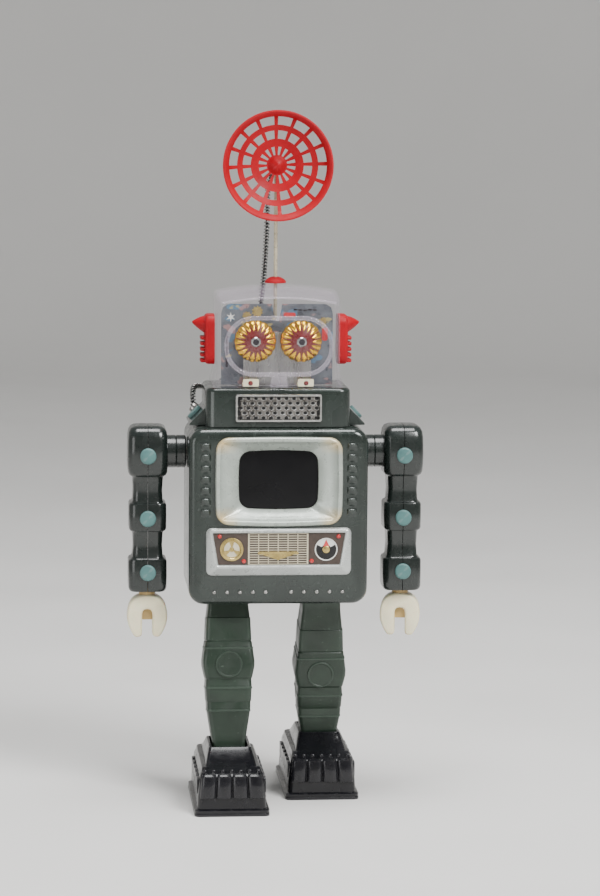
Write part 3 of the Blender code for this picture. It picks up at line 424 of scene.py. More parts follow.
def leg_cutter():
    """Guide that opens the torso's floor for the legs and its sides for the shoulder shafts."""
    shapes = []
    for _, sign in SIDES:
        opening = rounded_rect(24.4, 35, 2, (sign * LEG_X, 0))
        shapes.append(plate("Z", TORSO_BOTTOM - 2, TORSO_BOTTOM + 2, opening))
        bore = [(sign * 44, 0), (sign * 44, 3.3), (sign * 50, 3.3), (sign * 50, 0)]
        shapes.append(turned("X", (0, SHOULDER_Z), bore))
    return placed("opening_guide", clean_mesh("opening_guide", *joined(shapes)))


def apply_cut(target, guide):
    change = target.modifiers.new("openings", "BOOLEAN")
    change.operation = "DIFFERENCE"
    change.object = guide
    bpy.context.view_layer.update()
    mesh = bpy.data.meshes.new_from_object(target.evaluated_get(bpy.context.evaluated_depsgraph_get()))
    target.modifiers.clear()
    target.data = mesh
    mesh.set_sharp_from_angle(angle=radians(35))


def make_torso():
    window = divided(rounded_rect(60.0, 40.0, 6.0, (0, SCREEN_MID)), 6)
    front = torso_edge(-1, 0.0) + [upright(window, y) for y in (FACE_Y, FACE_Y + 1.0)]
    front += torso_edge(-1, 1.0)[::-1]
    shell = make_piece("front_shell_fine", *skin(front, ring=True), "green_tin", "body", ["front_shell"])
    rear = skin(torso_edge(1, 0.0)[::-1] + torso_edge(1, 1.0))
    back = make_piece("back_shell_fine", *rear, "green_tin", "body", ["back_shell"])
    guide = leg_cutter()
    for target in (shell, back):
        apply_cut(target, guide)
    bpy.data.objects.remove(guide)
    make_louvres()
    # Two rows of small bumps low on the green front, given bright steel paint as a painted highlight.
    highlight_domes = [dome((sign * (6.7 + 6.8 * k), FACE_Y, 115.2), 1.1, 0.9) for _, sign in SIDES for k in range(5)]
    make_piece("body_bosses_painted_highlight", *joined(highlight_domes), "steel", "body")


def make_louvres():
    """Seven pressed hoods down each side of the screen, flush below and open under a raised top lip."""
    profile = ((-0.2, 0.0, 0.0), (0.0, 0.8, 0.0), (0.0, 1.0, 0.3), (0.0, 0.97, 0.9), (0.0, 0.6, 2.4),
               (0.0, 0.2, 3.8), (-0.15, 0.0, 4.4), (-0.2, 0.0, 4.4))
    for side, sign in SIDES:
        shapes = []
        for row in range(7):
            lip = 194.2 - 5.82 * row
            loops = []
            for across in (-2.6, -2.45, -2.0, -1.2, 0.0, 1.2, 2.0, 2.45, 2.6):
                proud = 1.7 * max(0.0, 1 - (abs(across) / 2.6) ** 3)
                loops.append([(sign * 38.6 + across, FACE_Y - rise - proud * share, lip - drop)
                              for rise, share, drop in profile])
            shapes.append(skin(loops))
        make_piece(side + "_louvres", *joined(shapes), "green_tin", "body", sharp=40)


def tv_outline(half_width, half_height, radius, bow_x, bow_top, bow_bottom):
    """Round-cornered rectangle whose sides bow outwards like an old picture tube."""
    points = []
    for u, v in divided(rounded_rect(2 * half_width, 2 * half_height, radius), 10):
        bow = bow_top if v > 0 else bow_bottom
        x = u * (1 + bow_x / half_width * (1 - (v / half_height) ** 2))
        z = v * (1 + bow / half_height * (1 - (u / half_width) ** 2))
        points.append((x, SCREEN_MID + z))
    return points


def make_screen():
    rings = ((33.0, 22.8, 6.4, 0.6, 0.5, 1.3, -30.2), (33.0, 22.8, 6.4, 0.6, 0.5, 1.3, -31.6),
             (32.7, 22.5, 6.2, 0.6, 0.5, 1.3, -32.4), (32.1, 21.9, 5.6, 0.6, 0.5, 1.3, -32.9),
             (31.5, 21.3, 4.8, 0.6, 0.5, 1.3, -33.0), (30.9, 20.7, 3.8, 0.6, 0.5, 1.2, -32.8),
             (30.4, 20.2, 2.4, 0.6, 0.5, 1.1, -32.2), (30.1, 19.9, 1.4, 0.6, 0.5, 1.1, -31.6),
             (25.6, 17.7, 2.8, 0.8, 0.8, 0.9, -29.4), (20.6, 15.1, 4.8, 0.8, 1.0, 0.8, -27.0),
             (20.3, 14.8, 4.8, 0.8, 1.0, 0.8, -26.4), (20.3, 14.8, 4.8, 0.8, 1.0, 0.8, -25.6),
             (21.4, 16.0, 5.0, 0.8, 1.0, 0.8, -25.6), (28.6, 18.8, 4.4, 0.3, 0.3, 0.3, -29.0),
             (28.6, 18.8, 4.4, 0.3, 0.3, 0.3, -30.2))
    loops = [upright(tv_outline(*shape), y) for *shape, y in rings]
    make_piece("screen_bezel_fine", *skin(loops, ring=True), "ivory", "body", ["screen_bezel"], sharp=50)
    rim = (22.4, 17.0, 7.0, 0.8, 0.8, 0.8)
    loops = [upright(tv_outline(*rim), y) for y in (-23.8, -25.0)]
    loops += [upright(tv_outline(*(share * size for size in rim)), -25.0 - 0.35 * (1 - share * share))
              for share in (0.9, 0.7, 0.5, 0.3, 0.1)]
    make_piece("screen_glass", *skin(loops), "screen_black", "body", ["screen_lens"])


# ---------------------------------------------------------------- control panel
CARD_Y = -33.0
FLOOR_TOP, FLOOR_BOTTOM, FLOOR_HALF_TOP, FLOOR_HALF_BOTTOM = 147.2, 130.2, 35.0, 32.2


def floor_outline(grow, radius, steps=6):
    """Trapezoid of the tray's floor, wider at the top, with round corners."""
    width = FLOOR_HALF_TOP + FLOOR_HALF_BOTTOM + 2 * grow
    height = FLOOR_TOP - FLOOR_BOTTOM + 2 * grow
    middle = (FLOOR_TOP + FLOOR_BOTTOM) / 2
    taper = (FLOOR_HALF_TOP - FLOOR_HALF_BOTTOM) / (FLOOR_HALF_TOP + FLOOR_HALF_BOTTOM) * 2 / height
    outline = divided(rounded_rect(width, height, radius, steps=steps), 4)
    return [(u * (1 + taper * v), middle + v) for u, v in outline]


def make_tray():
    loops = []
    for inset, y in ((0.0, -30.2), (0.0, -30.9), (0.5, -31.5)):
        outline = rounded_rect(76.6 - 2 * inset, 25.2 - 2 * inset, 3.0 - inset, (0, TRAY_MID), 6)
        loops.append(upright(divided(outline, 4), y))
    loops += [upright(floor_outline(grow, radius), y) for grow, radius, y in (
        (1.9, 1.6, -33.9), (1.4, 1.4, -34.4), (0.8, 1.0, -34.5), (0.2, 0.5, -34.1), (0.0, 0.4, -32.9))]
    make_piece("panel_tray_fine", *skin(loops), "tray_silver", "body", ["panel_tray"], sharp=40)
    card = plate("Y", CARD_Y - 0.15, CARD_Y + 0.1, floor_outline(-0.15, 0.4))
    make_piece("panel_card_fine", *card, "card_brown", "body", ["panel_card"])


def printed(name, outlines, paint, depth):
    """Thin raised print on the card: one plate per outline."""
    shapes = [plate("Y", CARD_Y - 0.15 - depth, CARD_Y - 0.1, outline) for outline in outlines]
    make_piece(name, *joined(shapes), paint, "body", bevel=0.05, segments=1)


def rectangle(x, z, half_width, half_height):
    return [(x + u * half_width, z + v * half_height) for u, v in ((-1, -1), (1, -1), (1, 1), (-1, 1))]


def sector(centre, inner, outer, start, stop, steps=10):
    points = []
    for radius, ends in ((outer, (start, stop)), (inner, (stop, start))):
        for k in range(steps + 1):
            angle = radians(ends[0] + (ends[1] - ends[0]) * k / steps)
            points.append((centre[0] + radius * cos(angle), centre[1] + radius * sin(angle)))
    return points


def make_dials():
    reel, pointer = (-25.0, 138.5), (24.8, 138.3)

    def raised(name, centre, profile, paint, count, closed=False):
        lifted = [(CARD_Y - rise, radius) for rise, radius in profile]
        make_piece(name, *turned("Y", centre, lifted, count, closed), paint, "body")

    ring = ((0, 6.2), (0.7, 6.1), (0.9, 5.6), (0.9, 5.0), (0.5, 4.6), (0, 4.6))
    raised("reel_dial_ring", reel, ring, "gold", 48, True)
    printed("reel_dial_face", [circle(4.7, 40, reel)], "gold", 0.2)
    petals = [sector(reel, 1.3, 4.1, start, start + 84) for start in (-132, -12, 108)]
    printed("reel_dial_windows", petals, "print_cream", 0.4)
    printed("reel_dial_boss", [circle(0.9, 20, reel)], "gold", 0.55)
    ring = ((0, 6.1), (0.6, 6.0), (0.7, 5.7), (0.5, 5.4), (0, 5.4))
    raised("pointer_dial_ring", pointer, ring, "print_white", 48, True)
    printed("pointer_dial_face", [circle(5.5, 40, pointer)], "print_black", 0.2)
    printed("pointer_dial_scale", [sector(pointer, 2.6, 5.4, 28, 152, 16)], "print_white", 0.3)
    arrow = [(pointer[0] + x, pointer[1] + z) for x, z in ((-1.7, 1.6), (1.7, 1.6), (0, 5.4))]
    printed("pointer_dial_arrow", [arrow], "gem_red", 0.5)
    raised("pointer_dial_boss", pointer, ((0, 2.0), (0.8, 1.9), (1.1, 1.3), (1.1, 0)), "gold", 28)


def make_grid():
    left, right, low, high = -16.0, 15.0, 130.4, 147.0
    bars = []
    for k in range(7):
        half = 0.42 if k in (0, 6) else 0.24
        bars.append(rectangle(left + (right - left) * k / 6, (low + high) / 2, half, (high - low) / 2))
    for k in range(14):
        z = low + 0.2 + (high - low - 0.4) * k / 13
        bars.append(rectangle((left + right) / 2, z, (right - left) / 2, 0.19))
    printed("speaker_grid", bars, "print_cream", 0.25)
    wing = [(x, 135.9 - drop) for x, drop in ((-8.6, 0), (-6.0, 1.0), (-0.6, 2.8), (0.0, 3.2), (0.6, 2.8),
                                              (6.0, 1.0), (8.6, 0))]
    strip = rounded_rect(21.4, 1.5, 0.6, (0, 136.5), 4)
    bar = [[(x + (left + right) / 2, z) for x, z in outline] for outline in (wing, strip)]
    printed("speaker_bar", bar, "gold", 0.7)
    stone = [(CARD_Y, 1.25), (CARD_Y - 0.8, 1.1), (CARD_Y - 1.3, 0.5), (CARD_Y - 1.3, 0)]
    gems = [turned("Y", spot, stone, 8)
            for spot in ((-31.4, 145.4), (-18.6, 132.2), (17.2, 132.2), (31.4, 145.2))]
    make_piece("panel_gems", *joined(gems), "gem_red", "body", sharp=20)


# ---------------------------------------------------------------- neck
def level_loop(z, half_x, half_y, radius):
    return level(rounded_rect(2 * half_x, 2 * half_y, radius), z)


def make_neck():
    half_x, half_y, edge = NECK_HALF_WIDTH, NECK_HALF_DEPTH, 2.4
    stops = [(NECK_BASE, 0.0)]
    for degrees in (0, 15, 30, 45, 60, 75, 90):
        angle = radians(degrees)
        stops.append((NECK_TOP - edge + edge * sin(angle), edge * (1 - cos(angle))))
    loops = [level_loop(z, half_x - inset, half_y - inset, 6.0 - inset) for z, inset in stops]
    make_piece("neck_box_fine", *skin(loops), "green_tin", "body", ["neck_box"])
    slopes = []
    for _, sign in SIDES:
        slope = ((half_x - 1, 0), (46.6, 0), (46.6, 0.8), (half_x, 9.2), (half_x - 1, 9.2))
        slopes.append(plate("Y", -15, 18, [(sign * x, NECK_BASE + rise) for x, rise in slope]))
    make_piece("neck_slopes", *joined(slopes), "green_tin", "body", bevel=0.9, segments=3)


def make_grille():
    front, middle = -NECK_HALF_DEPTH - 0.3, 212.2
    loops = [upright(rounded_rect(45.8 - 2 * inset, 14.8 - 2 * inset, radius, (0, middle), 4), front - rise)
             for inset, radius, rise in ((0.0, 1.2, -0.3), (0.0, 1.2, 1.0), (0.3, 1.0, 1.5), (1.1, 0.8, 1.5),
                                         (1.5, 0.6, 0.9), (1.6, 0.6, -0.3))]
    make_piece("grille_frame_fine", *skin(loops, ring=True), "frame_chrome", "body", ["grille_frame"])
    width, height = 42.4, 11.4
    back = plate("Y", front - 0.15, front + 0.2, rounded_rect(width, height, 0.4, (0, middle), 2))
    make_piece("grille_backing", *back, "print_black", "body")
    mesh = joined(honeycomb(width, height, middle, front))
    make_piece("grille_mesh_fine", *mesh, "steel", "body", ["grille_mesh"], sharp=30)


def honeycomb(width, height, middle, front):
    """Expanded metal: stretched hexagon cells in staggered rows, inside the frame."""
    pitch, rise = 4.0, 2.55

    def held(value, limit):
        return max(-limit, min(limit, value))

    shapes = []
    for row in range(-2, 3):
        for column in range(-6, 7):
            x, z = (column + (0.5 if row % 2 else 0.0)) * pitch, row * rise
            if abs(x) > width / 2 + 0.4 or abs(z) > height / 2 + 0.6:
                continue
            loops = []
            for scale, proud in ((1.02, 0.25), (1.02, 0.6), (0.80, 0.95), (0.50, 0.5), (0.48, 0.25)):
                cell = circle(scale, 6, start=radians(30))
                loops.append([(held(x + pitch / 2 * 1.12 * u, width / 2), front - proud,
                               middle + held(z + rise / 1.5 * v, height / 2)) for u, v in cell])
            shapes.append(skin(loops, ring=True))
    return shapes


# ---------------------------------------------------------------- head
def crown(u, v):
    """Height of the dome's roof over a point, given as shares of its half width and half depth."""
    return 276.2 - 3.4 * u * u - 5.6 * v * v


def make_dome():
    half_width, half_depth, corner = 32.4, 24.2, 4.4
    stations = ((222.9, 34.3, 25.3), (224.5, 34.0, 25.1), (227.0, 33.3, 24.7), (230.0, 32.7, 24.4),
                (236, 32.5, 24.3), (248, 32.5, 24.25), (262, 32.4, 24.2))
    roof = ((1.0, 1.0), (0.994, 0.4), (0.98, 0.1), (0.95, 0), (0.85, 0), (0.7, 0), (0.5, 0), (0.3, 0),
            (0.12, 0))
    both = []
    for wall in (0.0, 1.3):
        def outline(half_x, half_y):
            return divided(rounded_rect(2 * (half_x - wall), 2 * (half_y - wall), corner - wall), 8)

        loops = [level(outline(half_x, half_y), z) for z, half_x, half_y in stations]
        for shrink, drop in roof:
            shrunken = [(x * shrink, y * shrink) for x, y in outline(half_width, half_depth)]
            loops.append([(x, y, crown(x / half_width, y / half_depth) - drop - wall) for x, y in shrunken])
        both.append(loops)
    shell = skin(both[0][::-1] + both[1])
    make_piece("head_dome_fine", *shell, "clear_plastic", "body", ["head_dome"], sharp=60)
    # The goggle ring, the tube along the front edge and the boss are real ridges, in the lighter clear
    # plastic that paints their highlight lines.
    goggle = upright(divided(rounded_rect(55.4, 29.6, 14.2, (0, 244.8), 12), 8), -24.6)
    make_piece("goggle_ring", *swept(goggle, 1.15, 10, closed=True), "clear_edge", "body", sharp=60)
    brow = [(2.5 * k, -23.6, crown(2.5 * k / half_width, 0.985) - 0.5) for k in range(-12, 13)]
    make_piece("dome_front_edge", *swept(brow, 0.55, 8), "clear_edge", "body", sharp=60)
    boss = [(-5.0, 223.4), (5.0, 223.4), (3.8, 229.0), (-3.8, 229.0)]
    make_piece("dome_boss", *plate("Y", -26.2, -24.9, boss), "clear_edge", "body", bevel=0.4)


def pointed(centre, points, outer, inner):
    """Star or cog outline with its valleys first."""
    x, z = centre
    radii = [outer if k % 2 else inner for k in range(2 * points)]
    return [(x + radius * cos(pi * k / points), z + radius * sin(pi * k / points))
            for k, radius in enumerate(radii)]


def make_instruments():
    """Printed tin wall with raised marks: three cog shapes, two red lamps, dark dashes and a white star."""
    top = 266.0
    right = [(29.6, 223.2), (29.6, top - 5), (28.8, top - 2), (26.6, top - 0.4), (24.6, top), (2.6, top),
             (2.2, top - 3.5), (0.9, top - 9.0)]
    card = [(-29.6, 223.2)] + right + [(-x, z) for x, z in right[:0:-1]]
    bores = [circle(1.5, 16, (sign * EYE_X, EYE_Z)) for _, sign in SIDES]
    wall = plate("Y", -9.5, -8.7, card, bores)
    make_piece("instrument_plate_fine", *wall, "plate_litho", "body", ["instrument_plate"])
    cogs = [pointed(centre, teeth, size, 0.72 * size) for centre, size, teeth in (
        ((-10.5, 262.0), 3.2, 10), ((-16.0, 259.6), 2.6, 9), ((24.4, 257.0), 2.2, 8))]
    lamps = [rounded_rect(6.4, 2.4, 1.1, (6.6, 260.2), 4), rounded_rect(3.0, 7.0, 1.2, (25.4, 250.0), 4)]
    dashes = [rounded_rect(2.0, 0.9, 0.3, (9.6 + 2.6 * k, 263.0 - 0.2 * (k % 3)), 2) for k in range(5)]
    dashes += [rounded_rect(1.2, 5.0, 0.5, (-26.6, 235 + 6 * k), 2) for k in range(3)]
    star = pointed((-24.6, 259.0), 6, 2.6, 0.9)
    for name, outlines, paint in (("cogs", cogs, "gold"), ("star", [star], "print_white"),
                                  ("lamp", lamps, "gem_red"), ("legend", dashes, "print_black")):
        marks = [plate("Y", -9.8, -9.45, outline) for outline in outlines]
        make_piece("litho_" + name, *joined(marks), paint, "body")


def make_bracket():
    """Steel strap behind the eyes, with two cream feet bent forward and riveted to the deck."""
    bores = [circle(1.5, 16, (sign * EYE_X, EYE_Z)) for _, sign in SIDES]
    strap = plate("Y", -12.5, -11.7, rounded_rect(36, 28, 4, (0, 237.2), 6), bores)
    make_piece("eye_bracket_strap", *strap, "steel", "body", ["eye_bracket"], bevel=0.1)
    feet, rivets = [], []
    for _, sign in SIDES:
        x = sign * 14.5
        feet.append(plate("Z", 223.2, 224.4, rounded_rect(8.4, 8.2, 0.8, (x, -16.4), 4)))
        feet.append(plate("Y", -20.9, -19.9, rounded_rect(8.4, 4.0, 0.7, (x, 225.2), 4)))
        rivets.append(dome((x + sign * 0.2, -20.9, 225.0), 1.3, 0.6))
    make_piece("eye_bracket_feet", *joined(feet), "cream_plastic", "body", bevel=0.15)
    make_piece("bracket_rivets", *joined(rivets), "eye_red", "body")


def eye_face(radius):
    """Y of the eye's front at a radius: a shallow bowl-shaped dome."""
    return -17.6 - 4.0 * (1 - (radius / EYE_RADIUS) ** 2) ** 0.6


def make_eye(side, sign):
    """Fluted gold dome with a red many-pointed star, a chrome eyelet and a black pin face that fills its
    hole as painted shade.
    """
    centre, petals, body = (sign * EYE_X, EYE_Z), 18, side + "_eye"
    fine = petals * 8

    def fluted(radius, y=None):
        points = []
        for i in range(fine):
            angle = 2 * pi * i / fine
            flute = abs(cos(petals * angle / 2)) ** 0.7
            depth = 0.6 * sin(pi * radius / EYE_RADIUS) ** 0.5 + 0.2 if radius < EYE_RADIUS else 0.2
            reach = radius * (1.0 - 0.035 * (1 - flute) if radius > 0.9 * EYE_RADIUS else 1.0)
            here = eye_face(radius) - flute * depth if y is None else y
            points.append((centre[0] + reach * cos(angle), here, centre[1] + reach * sin(angle)))
        return points

    loops = [fluted(2.0, -16.4), fluted(EYE_RADIUS * 0.9, -16.4), fluted(EYE_RADIUS, -16.9)]
    loops += [fluted(EYE_RADIUS * share)
              for share in (1.0, 0.985, 0.94, 0.86, 0.76, 0.66, 0.56, 0.46, 0.36, 0.26)]
    make_piece(body + "_fine", *skin(loops), "eye_gold", body, [body], sharp=70)
    star = []
    for point, valley, lift in ((8.3, 5.6, 0.12), (8.3, 5.6, 0.94), (4.4, 4.4, 1.1), (2.2, 2.2, 1.15)):
        outline = pointed(centre, petals, point, valley)
        depths = (eye_face(valley) - lift, eye_face(point) - lift)
        star.append([(x, depths[k % 2], z) for k, (x, z) in enumerate(outline)])
    make_piece(body + "_star", *skin(star), "eye_red", body, sharp=60)
    # Dark red strips down the flute valleys outside the star: painted shade in the creases between the
    # petals.
    painted_valley_shade = []
    for k in range(petals):
        angle = pi * (2 * k + 1) / petals
        along, across = Vector((cos(angle), 0, sin(angle))), Vector((-sin(angle), 0, cos(angle)))
        loops = []
        for radius, half in ((7.6, 0.30), (8.8, 0.26), (10.0, 0.18), (10.7, 0.06)):
            spot = Vector((centre[0], eye_face(radius) - 0.30, centre[1])) + along * radius
            low, high = spot - across * half, spot + across * half
            loops.append([high, low, low + Vector((0, 0.5, 0)), high + Vector((0, 0.5, 0))])
        painted_valley_shade.append(skin(loops))
    make_piece(body + "_grooves", *joined(painted_valley_shade), "eye_red", body)
    front = eye_face(0)
    eyelet = [(front - rise, radius) for rise, radius in (
        (0.6, 2.7), (1.4, 2.6), (1.9, 2.1), (1.9, 1.7), (1.2, 1.3), (0.6, 1.3))]
    make_piece(body + "_eyelet", *turned("Y", centre, eyelet, 28, True), "frame_chrome", body)
    # The pin's flat black front fills the eyelet's bore: painted shade for the dark hole.
    pin = [(front - 1.35, 0), (front - 1.35, 1.35), (-7.6, 1.1), (-7.6, 2.0)]
    pin += [(-4.6, 2.0), (-4.6, 3.0), (-1.0, 3.0), (-1.0, 0)] if side == "left" else [(-5.2, 2.0), (-5.2, 0)]
    make_piece(body + "_pin", *turned("Y", centre, pin, 24), "print_black", body)


def make_ear(side, sign):
    """Red ear: slab on the dome's side, a pointed horn on top and ribs down its outer edge."""
    def slab(steps, middle, outline):
        return skin([[(sign * x, y * share, middle + z * share) for y, z in outline] for x, share in steps])

    block = ((32.9, 1.0), (36.4, 1.0), (37.4, 0.97), (37.9, 0.90))
    shapes = [slab(block, EAR_MID, rounded_rect(17, 26.4, 4.5))]
    horn = ((34.0, 6.0, 4.9, 7.6), (37.6, 5.6, 4.7, 7.6), (40.0, 4.0, 3.7, 8.0), (42.2, 2.2, 2.3, 8.4),
            (43.9, 0.9, 1.0, 8.7), (44.5, 0.3, 0.4, 8.8))
    shapes.append(skin([[(sign * x, depth * u, EAR_MID + rise + height * v) for u, v in circle(1.0, 24)]
                        for x, depth, height, rise in horn]))
    rib = rounded_rect(11.0, 1.7, 0.6, steps=4)
    shapes += [slab(((36.6, 1.0), (39.6, 1.0), (40.2, 0.8)), EAR_MID + 0.6 - 3.0 * k, rib) for k in range(5)]
    make_piece(side + "_ear_fine", *joined(shapes), "red_plastic", "body", [side + "_ear"], sharp=45)


# ---------------------------------------------------------------- aerial
def dish_face(radius):
    return -1.6 - DISH_DEPTH * (radius / DISH_RADIUS) ** 2


def make_dish():
    """Bowl of three rings and sixteen spokes, with thin slots next to the hub."""
    radii = (4.6, 5.4, 7.6, 9.8, 10.4, 13.5, 14.0, 16.2, 18.4, 18.9, 20.9, 21.4, 23.6, 25.8, 26.3, 28.4,
             DISH_RADIUS)
    open_rows = {1: 0.48, 2: 0.48, 6: 0.72, 7: 0.72, 11: 0.79, 12: 0.79}
    spokes, per, thickness = 16, 6, 1.25
    rows, across = len(radii), spokes * per
    layer = rows * across

    def angle_of(share, index):
        """Six angles a spoke: a window takes the middle three cells, as wide as its row's share."""
        spoke, k = divmod(index, per)
        edge = (1 - share) / 2
        stops = (0.0, edge, edge + share / 3, edge + 2 * share / 3, 1 - edge, 1 - edge / 2)
        return 2 * pi / spokes * (spoke + stops[k]) + radians(2.5)

    def solid(row, cell):
        return 0 <= row < rows - 1 and not (row in open_rows and cell % per in (1, 2, 3))

    points, faces = [], []
    for back in (0.0, 1.0):
        for row, radius in enumerate(radii):
            share = open_rows.get(row, open_rows.get(row - 1, 0.68))
            lip = 0.7 - 0.56 * back if 26 < radius < 29 else 0.0
            for index in range(across):
                angle = angle_of(share, index)
                points.append((radius * cos(angle), dish_face(radius) + thickness * back - lip,
                               DISH_Z + radius * sin(angle)))
    for row in range(rows - 1):
        for cell in range(across):
            if not solid(row, cell):
                continue
            n = (cell + 1) % across
            a, b, c, d = (row * across + cell, row * across + n, (row + 1) * across + n,
                          (row + 1) * across + cell)
            faces += [(a, b, c, d), (a + layer, b + layer, c + layer, d + layer)]
            for other_row, other, p, q in ((row - 1, cell, a, b), (row + 1, cell, c, d),
                                           (row, (cell - 1) % across, a, d), (row, n, b, c)):
                if not solid(other_row, other):
                    faces.append((p, q, q + layer, p + layer))
    make_piece("dish_fine", points, faces, "red_plastic", "dish", ["dish"], sharp=40)
    hub = [(-4.4, 0), (-4.35, 0.8), (-4.1, 1.7), (-3.6, 2.7), (-2.9, 3.6), (-2.2, 4.6), (-1.7, 5.4),
           (0.2, 5.4), (0.2, 1.0), (10.5, 1.0), (10.5, 0)]
    make_piece("dish_hub", *turned("Y", (0, DISH_Z), hub, 36), "red_plastic", "dish")


def make_mast_parts():
    rim = [(276.3, 1.3), (276.3, 5.7), (277.2, 5.6), (278.2, 4.7), (279.0, 3.4), (279.5, 2.0), (279.5, 1.3)]
    grommet = turned("Z", (0, MAST_Y), rim, 36, True)
    make_piece("mast_grommet_fine", *grommet, "red_plastic", "body", ["mast_grommet"])


SPRING_ROUTE = ((0, 10.9, 338.8), (0, 14.5, 338.4), (-1.2, 18.4, 335.2), (-3.0, 20.2, 326),
                (-3.4, 20.4, 316), (-3.6, 21.2, 304), (-4.2, 23.8, 288), (-5.0, 27.6, 273),
                (-7.0, 29.6, 258), (-12.0, 30.2, 242), (-20.0, 30.2, 227.5), (-28.0, 29.4, 220.6),
                (-35.0, 27.2, 218.6), (-40.4, 22.4, 219.2), (-42.6, 17.0, 219.0), (-43.4, 13.0, 216.6),
                (-43.4, 10.8, 213), (-43.2, 10.2, 209.0))


def smooth_route(stations, spacing):
    guides = [Vector(p) for p in stations]
    guides = [2 * guides[0] - guides[1]] + guides + [2 * guides[-1] - guides[-2]]
    points = []
    for i in range(1, len(guides) - 2):
        p0, p1, p2, p3 = guides[i - 1:i + 3]
        steps = max(1, round((p2 - p1).length / spacing))
        for step in range(steps):
            t = step / steps
            points.append(0.5 * (2 * p1 + (p2 - p0) * t + (2 * p0 - 5 * p1 + 4 * p2 - p3) * t ** 2
                                 + (3 * p1 - p0 - 3 * p2 + p3) * t ** 3))
    return points + [guides[-2]]


def draw_wire(name, places, radius, paint, replaces=()):
    curve = bpy.data.curves.new(name, "CURVE")
    curve.dimensions = "3D"
    line = curve.splines.new("POLY")
    line.points.add(len(places) - 1)
    for point, place in zip(line.points, places):
        point.co = (*(place * MM), 1.0)
    curve.bevel_depth = radius * MM
    curve.bevel_resolution = 1
    curve.use_fill_caps = True
    curve.materials.append(PAINTS[paint])
    attach(placed(name, curve), "body", replaces)


def make_drive_spring():
    """Close coil of steel wire over a dark core, following the route of the CAD tube."""
    coil_radius, wire_radius, core_radius, pitch, per_turn = 1.2, 0.45, 0.7, 1.75, 12
    route = smooth_route(SPRING_ROUTE, pitch / per_turn)
    across = (route[1] - route[0]).normalized().cross(Vector((1, 0, 0))).normalized()
    coil = []
    for i, spot in enumerate(route):
        ahead = (route[min(i + 1, len(route) - 1)] - route[max(i - 1, 0)]).normalized()
        across = (across - ahead * across.dot(ahead)).normalized()
        angle = 2 * pi * i / per_turn
        coil.append(spot + coil_radius * (across * cos(angle) + ahead.cross(across) * sin(angle)))
    draw_wire("drive_spring_coil", coil, wire_radius, "spring_steel", ["drive_spring"])
    draw_wire("drive_spring_core", route[::8] + [route[-1]], core_radius, "rubber")
    ferrule = [(-1.4, 1.9), (-1.4, 3.0), (0.2, 2.9), (1.2, 2.3), (1.2, 1.9)]
    turn = Vector((0, 0, 1)).rotation_difference(Vector((-0.75, 0.1, 0.66))).to_matrix().to_4x4()
    turn.translation = Vector(SPRING_ROUTE[-1]) * MM
    make_piece("spring_ferrule", *turned("Z", (0, 0), ferrule, 24, True), "steel", "body", turn=turn)


# ---------------------------------------------------------------- arms
ARM_STATIONS = ((201.0, 5.0, 6.0), (200.7, 7.4, 8.6), (199.8, 9.0, 10.8), (198.0, 10.0, 12.4),
                (195.0, 10.4, 13.4), (186.5, 10.6, 14.0), (180.0, 10.6, 13.2), (176.4, 10.4, 12.0),
                (174.8, 9.8, 11.2), (174.2, 8.8, 10.2), (173.4, 8.2, 9.7), (171.0, 8.0, 9.5),
                (166.5, 7.7, 9.2), (161.0, 8.0, 9.4), (160.0, 8.4, 9.8), (159.6, 9.4, 10.6),
                (158.6, 9.9, 11.0), (152.0, 10.0, 11.0), (146.0, 9.9, 11.0), (145.0, 9.4, 10.6),
                (144.6, 8.6, 9.9), (143.6, 8.1, 9.5), (137.0, 7.7, 9.2), (130.8, 8.1, 9.5),
                (129.8, 8.8, 10.1), (129.4, 9.7, 10.8), (128.4, 10.2, 11.0), (121.0, 10.3, 11.0),
                (114.4, 10.2, 11.0), (113.0, 9.8, 10.6), (112.2, 9.0, 9.8))


def make_arm(side, sign):
    """Two half shells that meet at a fine seam, the shoulder collar and three studs."""
    x, body, seam = sign * ARM_X, side + "_arm", 0.18
    for half, out in (("inner", -sign), ("outer", sign)):
        loops = []
        for z, half_x, half_y in ARM_STATIONS:
            outline = rounded_rect(2 * half_x, 2 * half_y, min(half_x, half_y) * 0.45, steps=6)
            kept = sorted([p for p in outline if p[0] > 0], key=lambda p: p[1])
            kept = [(seam, -half_y)] + kept + [(seam, half_y)]
            loops.append([(x + out * u, v, z) for u, v in kept])
        shapes = [skin(loops)]
        if half == "inner":
            collar = [(sign * along, radius) for along, radius in (
                (47.7, 0), (47.7, 7.9), (48.5, 8.8), (52.6, 8.8), (53.0, 8.4), (53.4, 8.8), (59.0, 8.8),
                (59.0, 0))]
            shapes.append(turned("X", (0, SHOULDER_Z), collar, 48))
        name = body + "_" + half
        make_piece(name + "_fine", *joined(shapes), "arm_plastic", body, [name], sharp=38)
    for place, z, face in (("shoulder", 185.6, 14.0), ("elbow", 151.8, 11.0), ("wrist", 122.8, 11.0)):
        stud = [(-face - rise, radius) for rise, radius in (
            (-0.3, 0), (-0.3, 4.2), (1.3, 4.3), (1.75, 4.1), (2.0, 3.7), (2.1, 3.1), (2.15, 1.6), (2.15, 0))]
        name = "_".join((side, place, "stud"))
        make_piece(name + "_fine", *turned("Y", (x, z), stud, 36), "teal_plastic", body, [name], sharp=50)


def shrunk(outline, distance):
    """The outline moved inwards along the halved angle at each corner."""
    points, count = [], len(outline)
    area = sum(outline[i - 1][0] * outline[i][1] - outline[i][0] * outline[i - 1][1] for i in range(count))
    for i, corner in enumerate(Vector(point) for point in outline):
        before, after = Vector(outline[i - 1]), Vector(outline[(i + 1) % count])
        along = (corner - before).normalized() + (after - corner).normalized()
        inward = Vector((-along.y, along.x)).normalized()
        points.append(tuple(corner + inward * distance * (1 if area > 0 else -1)))
    return points


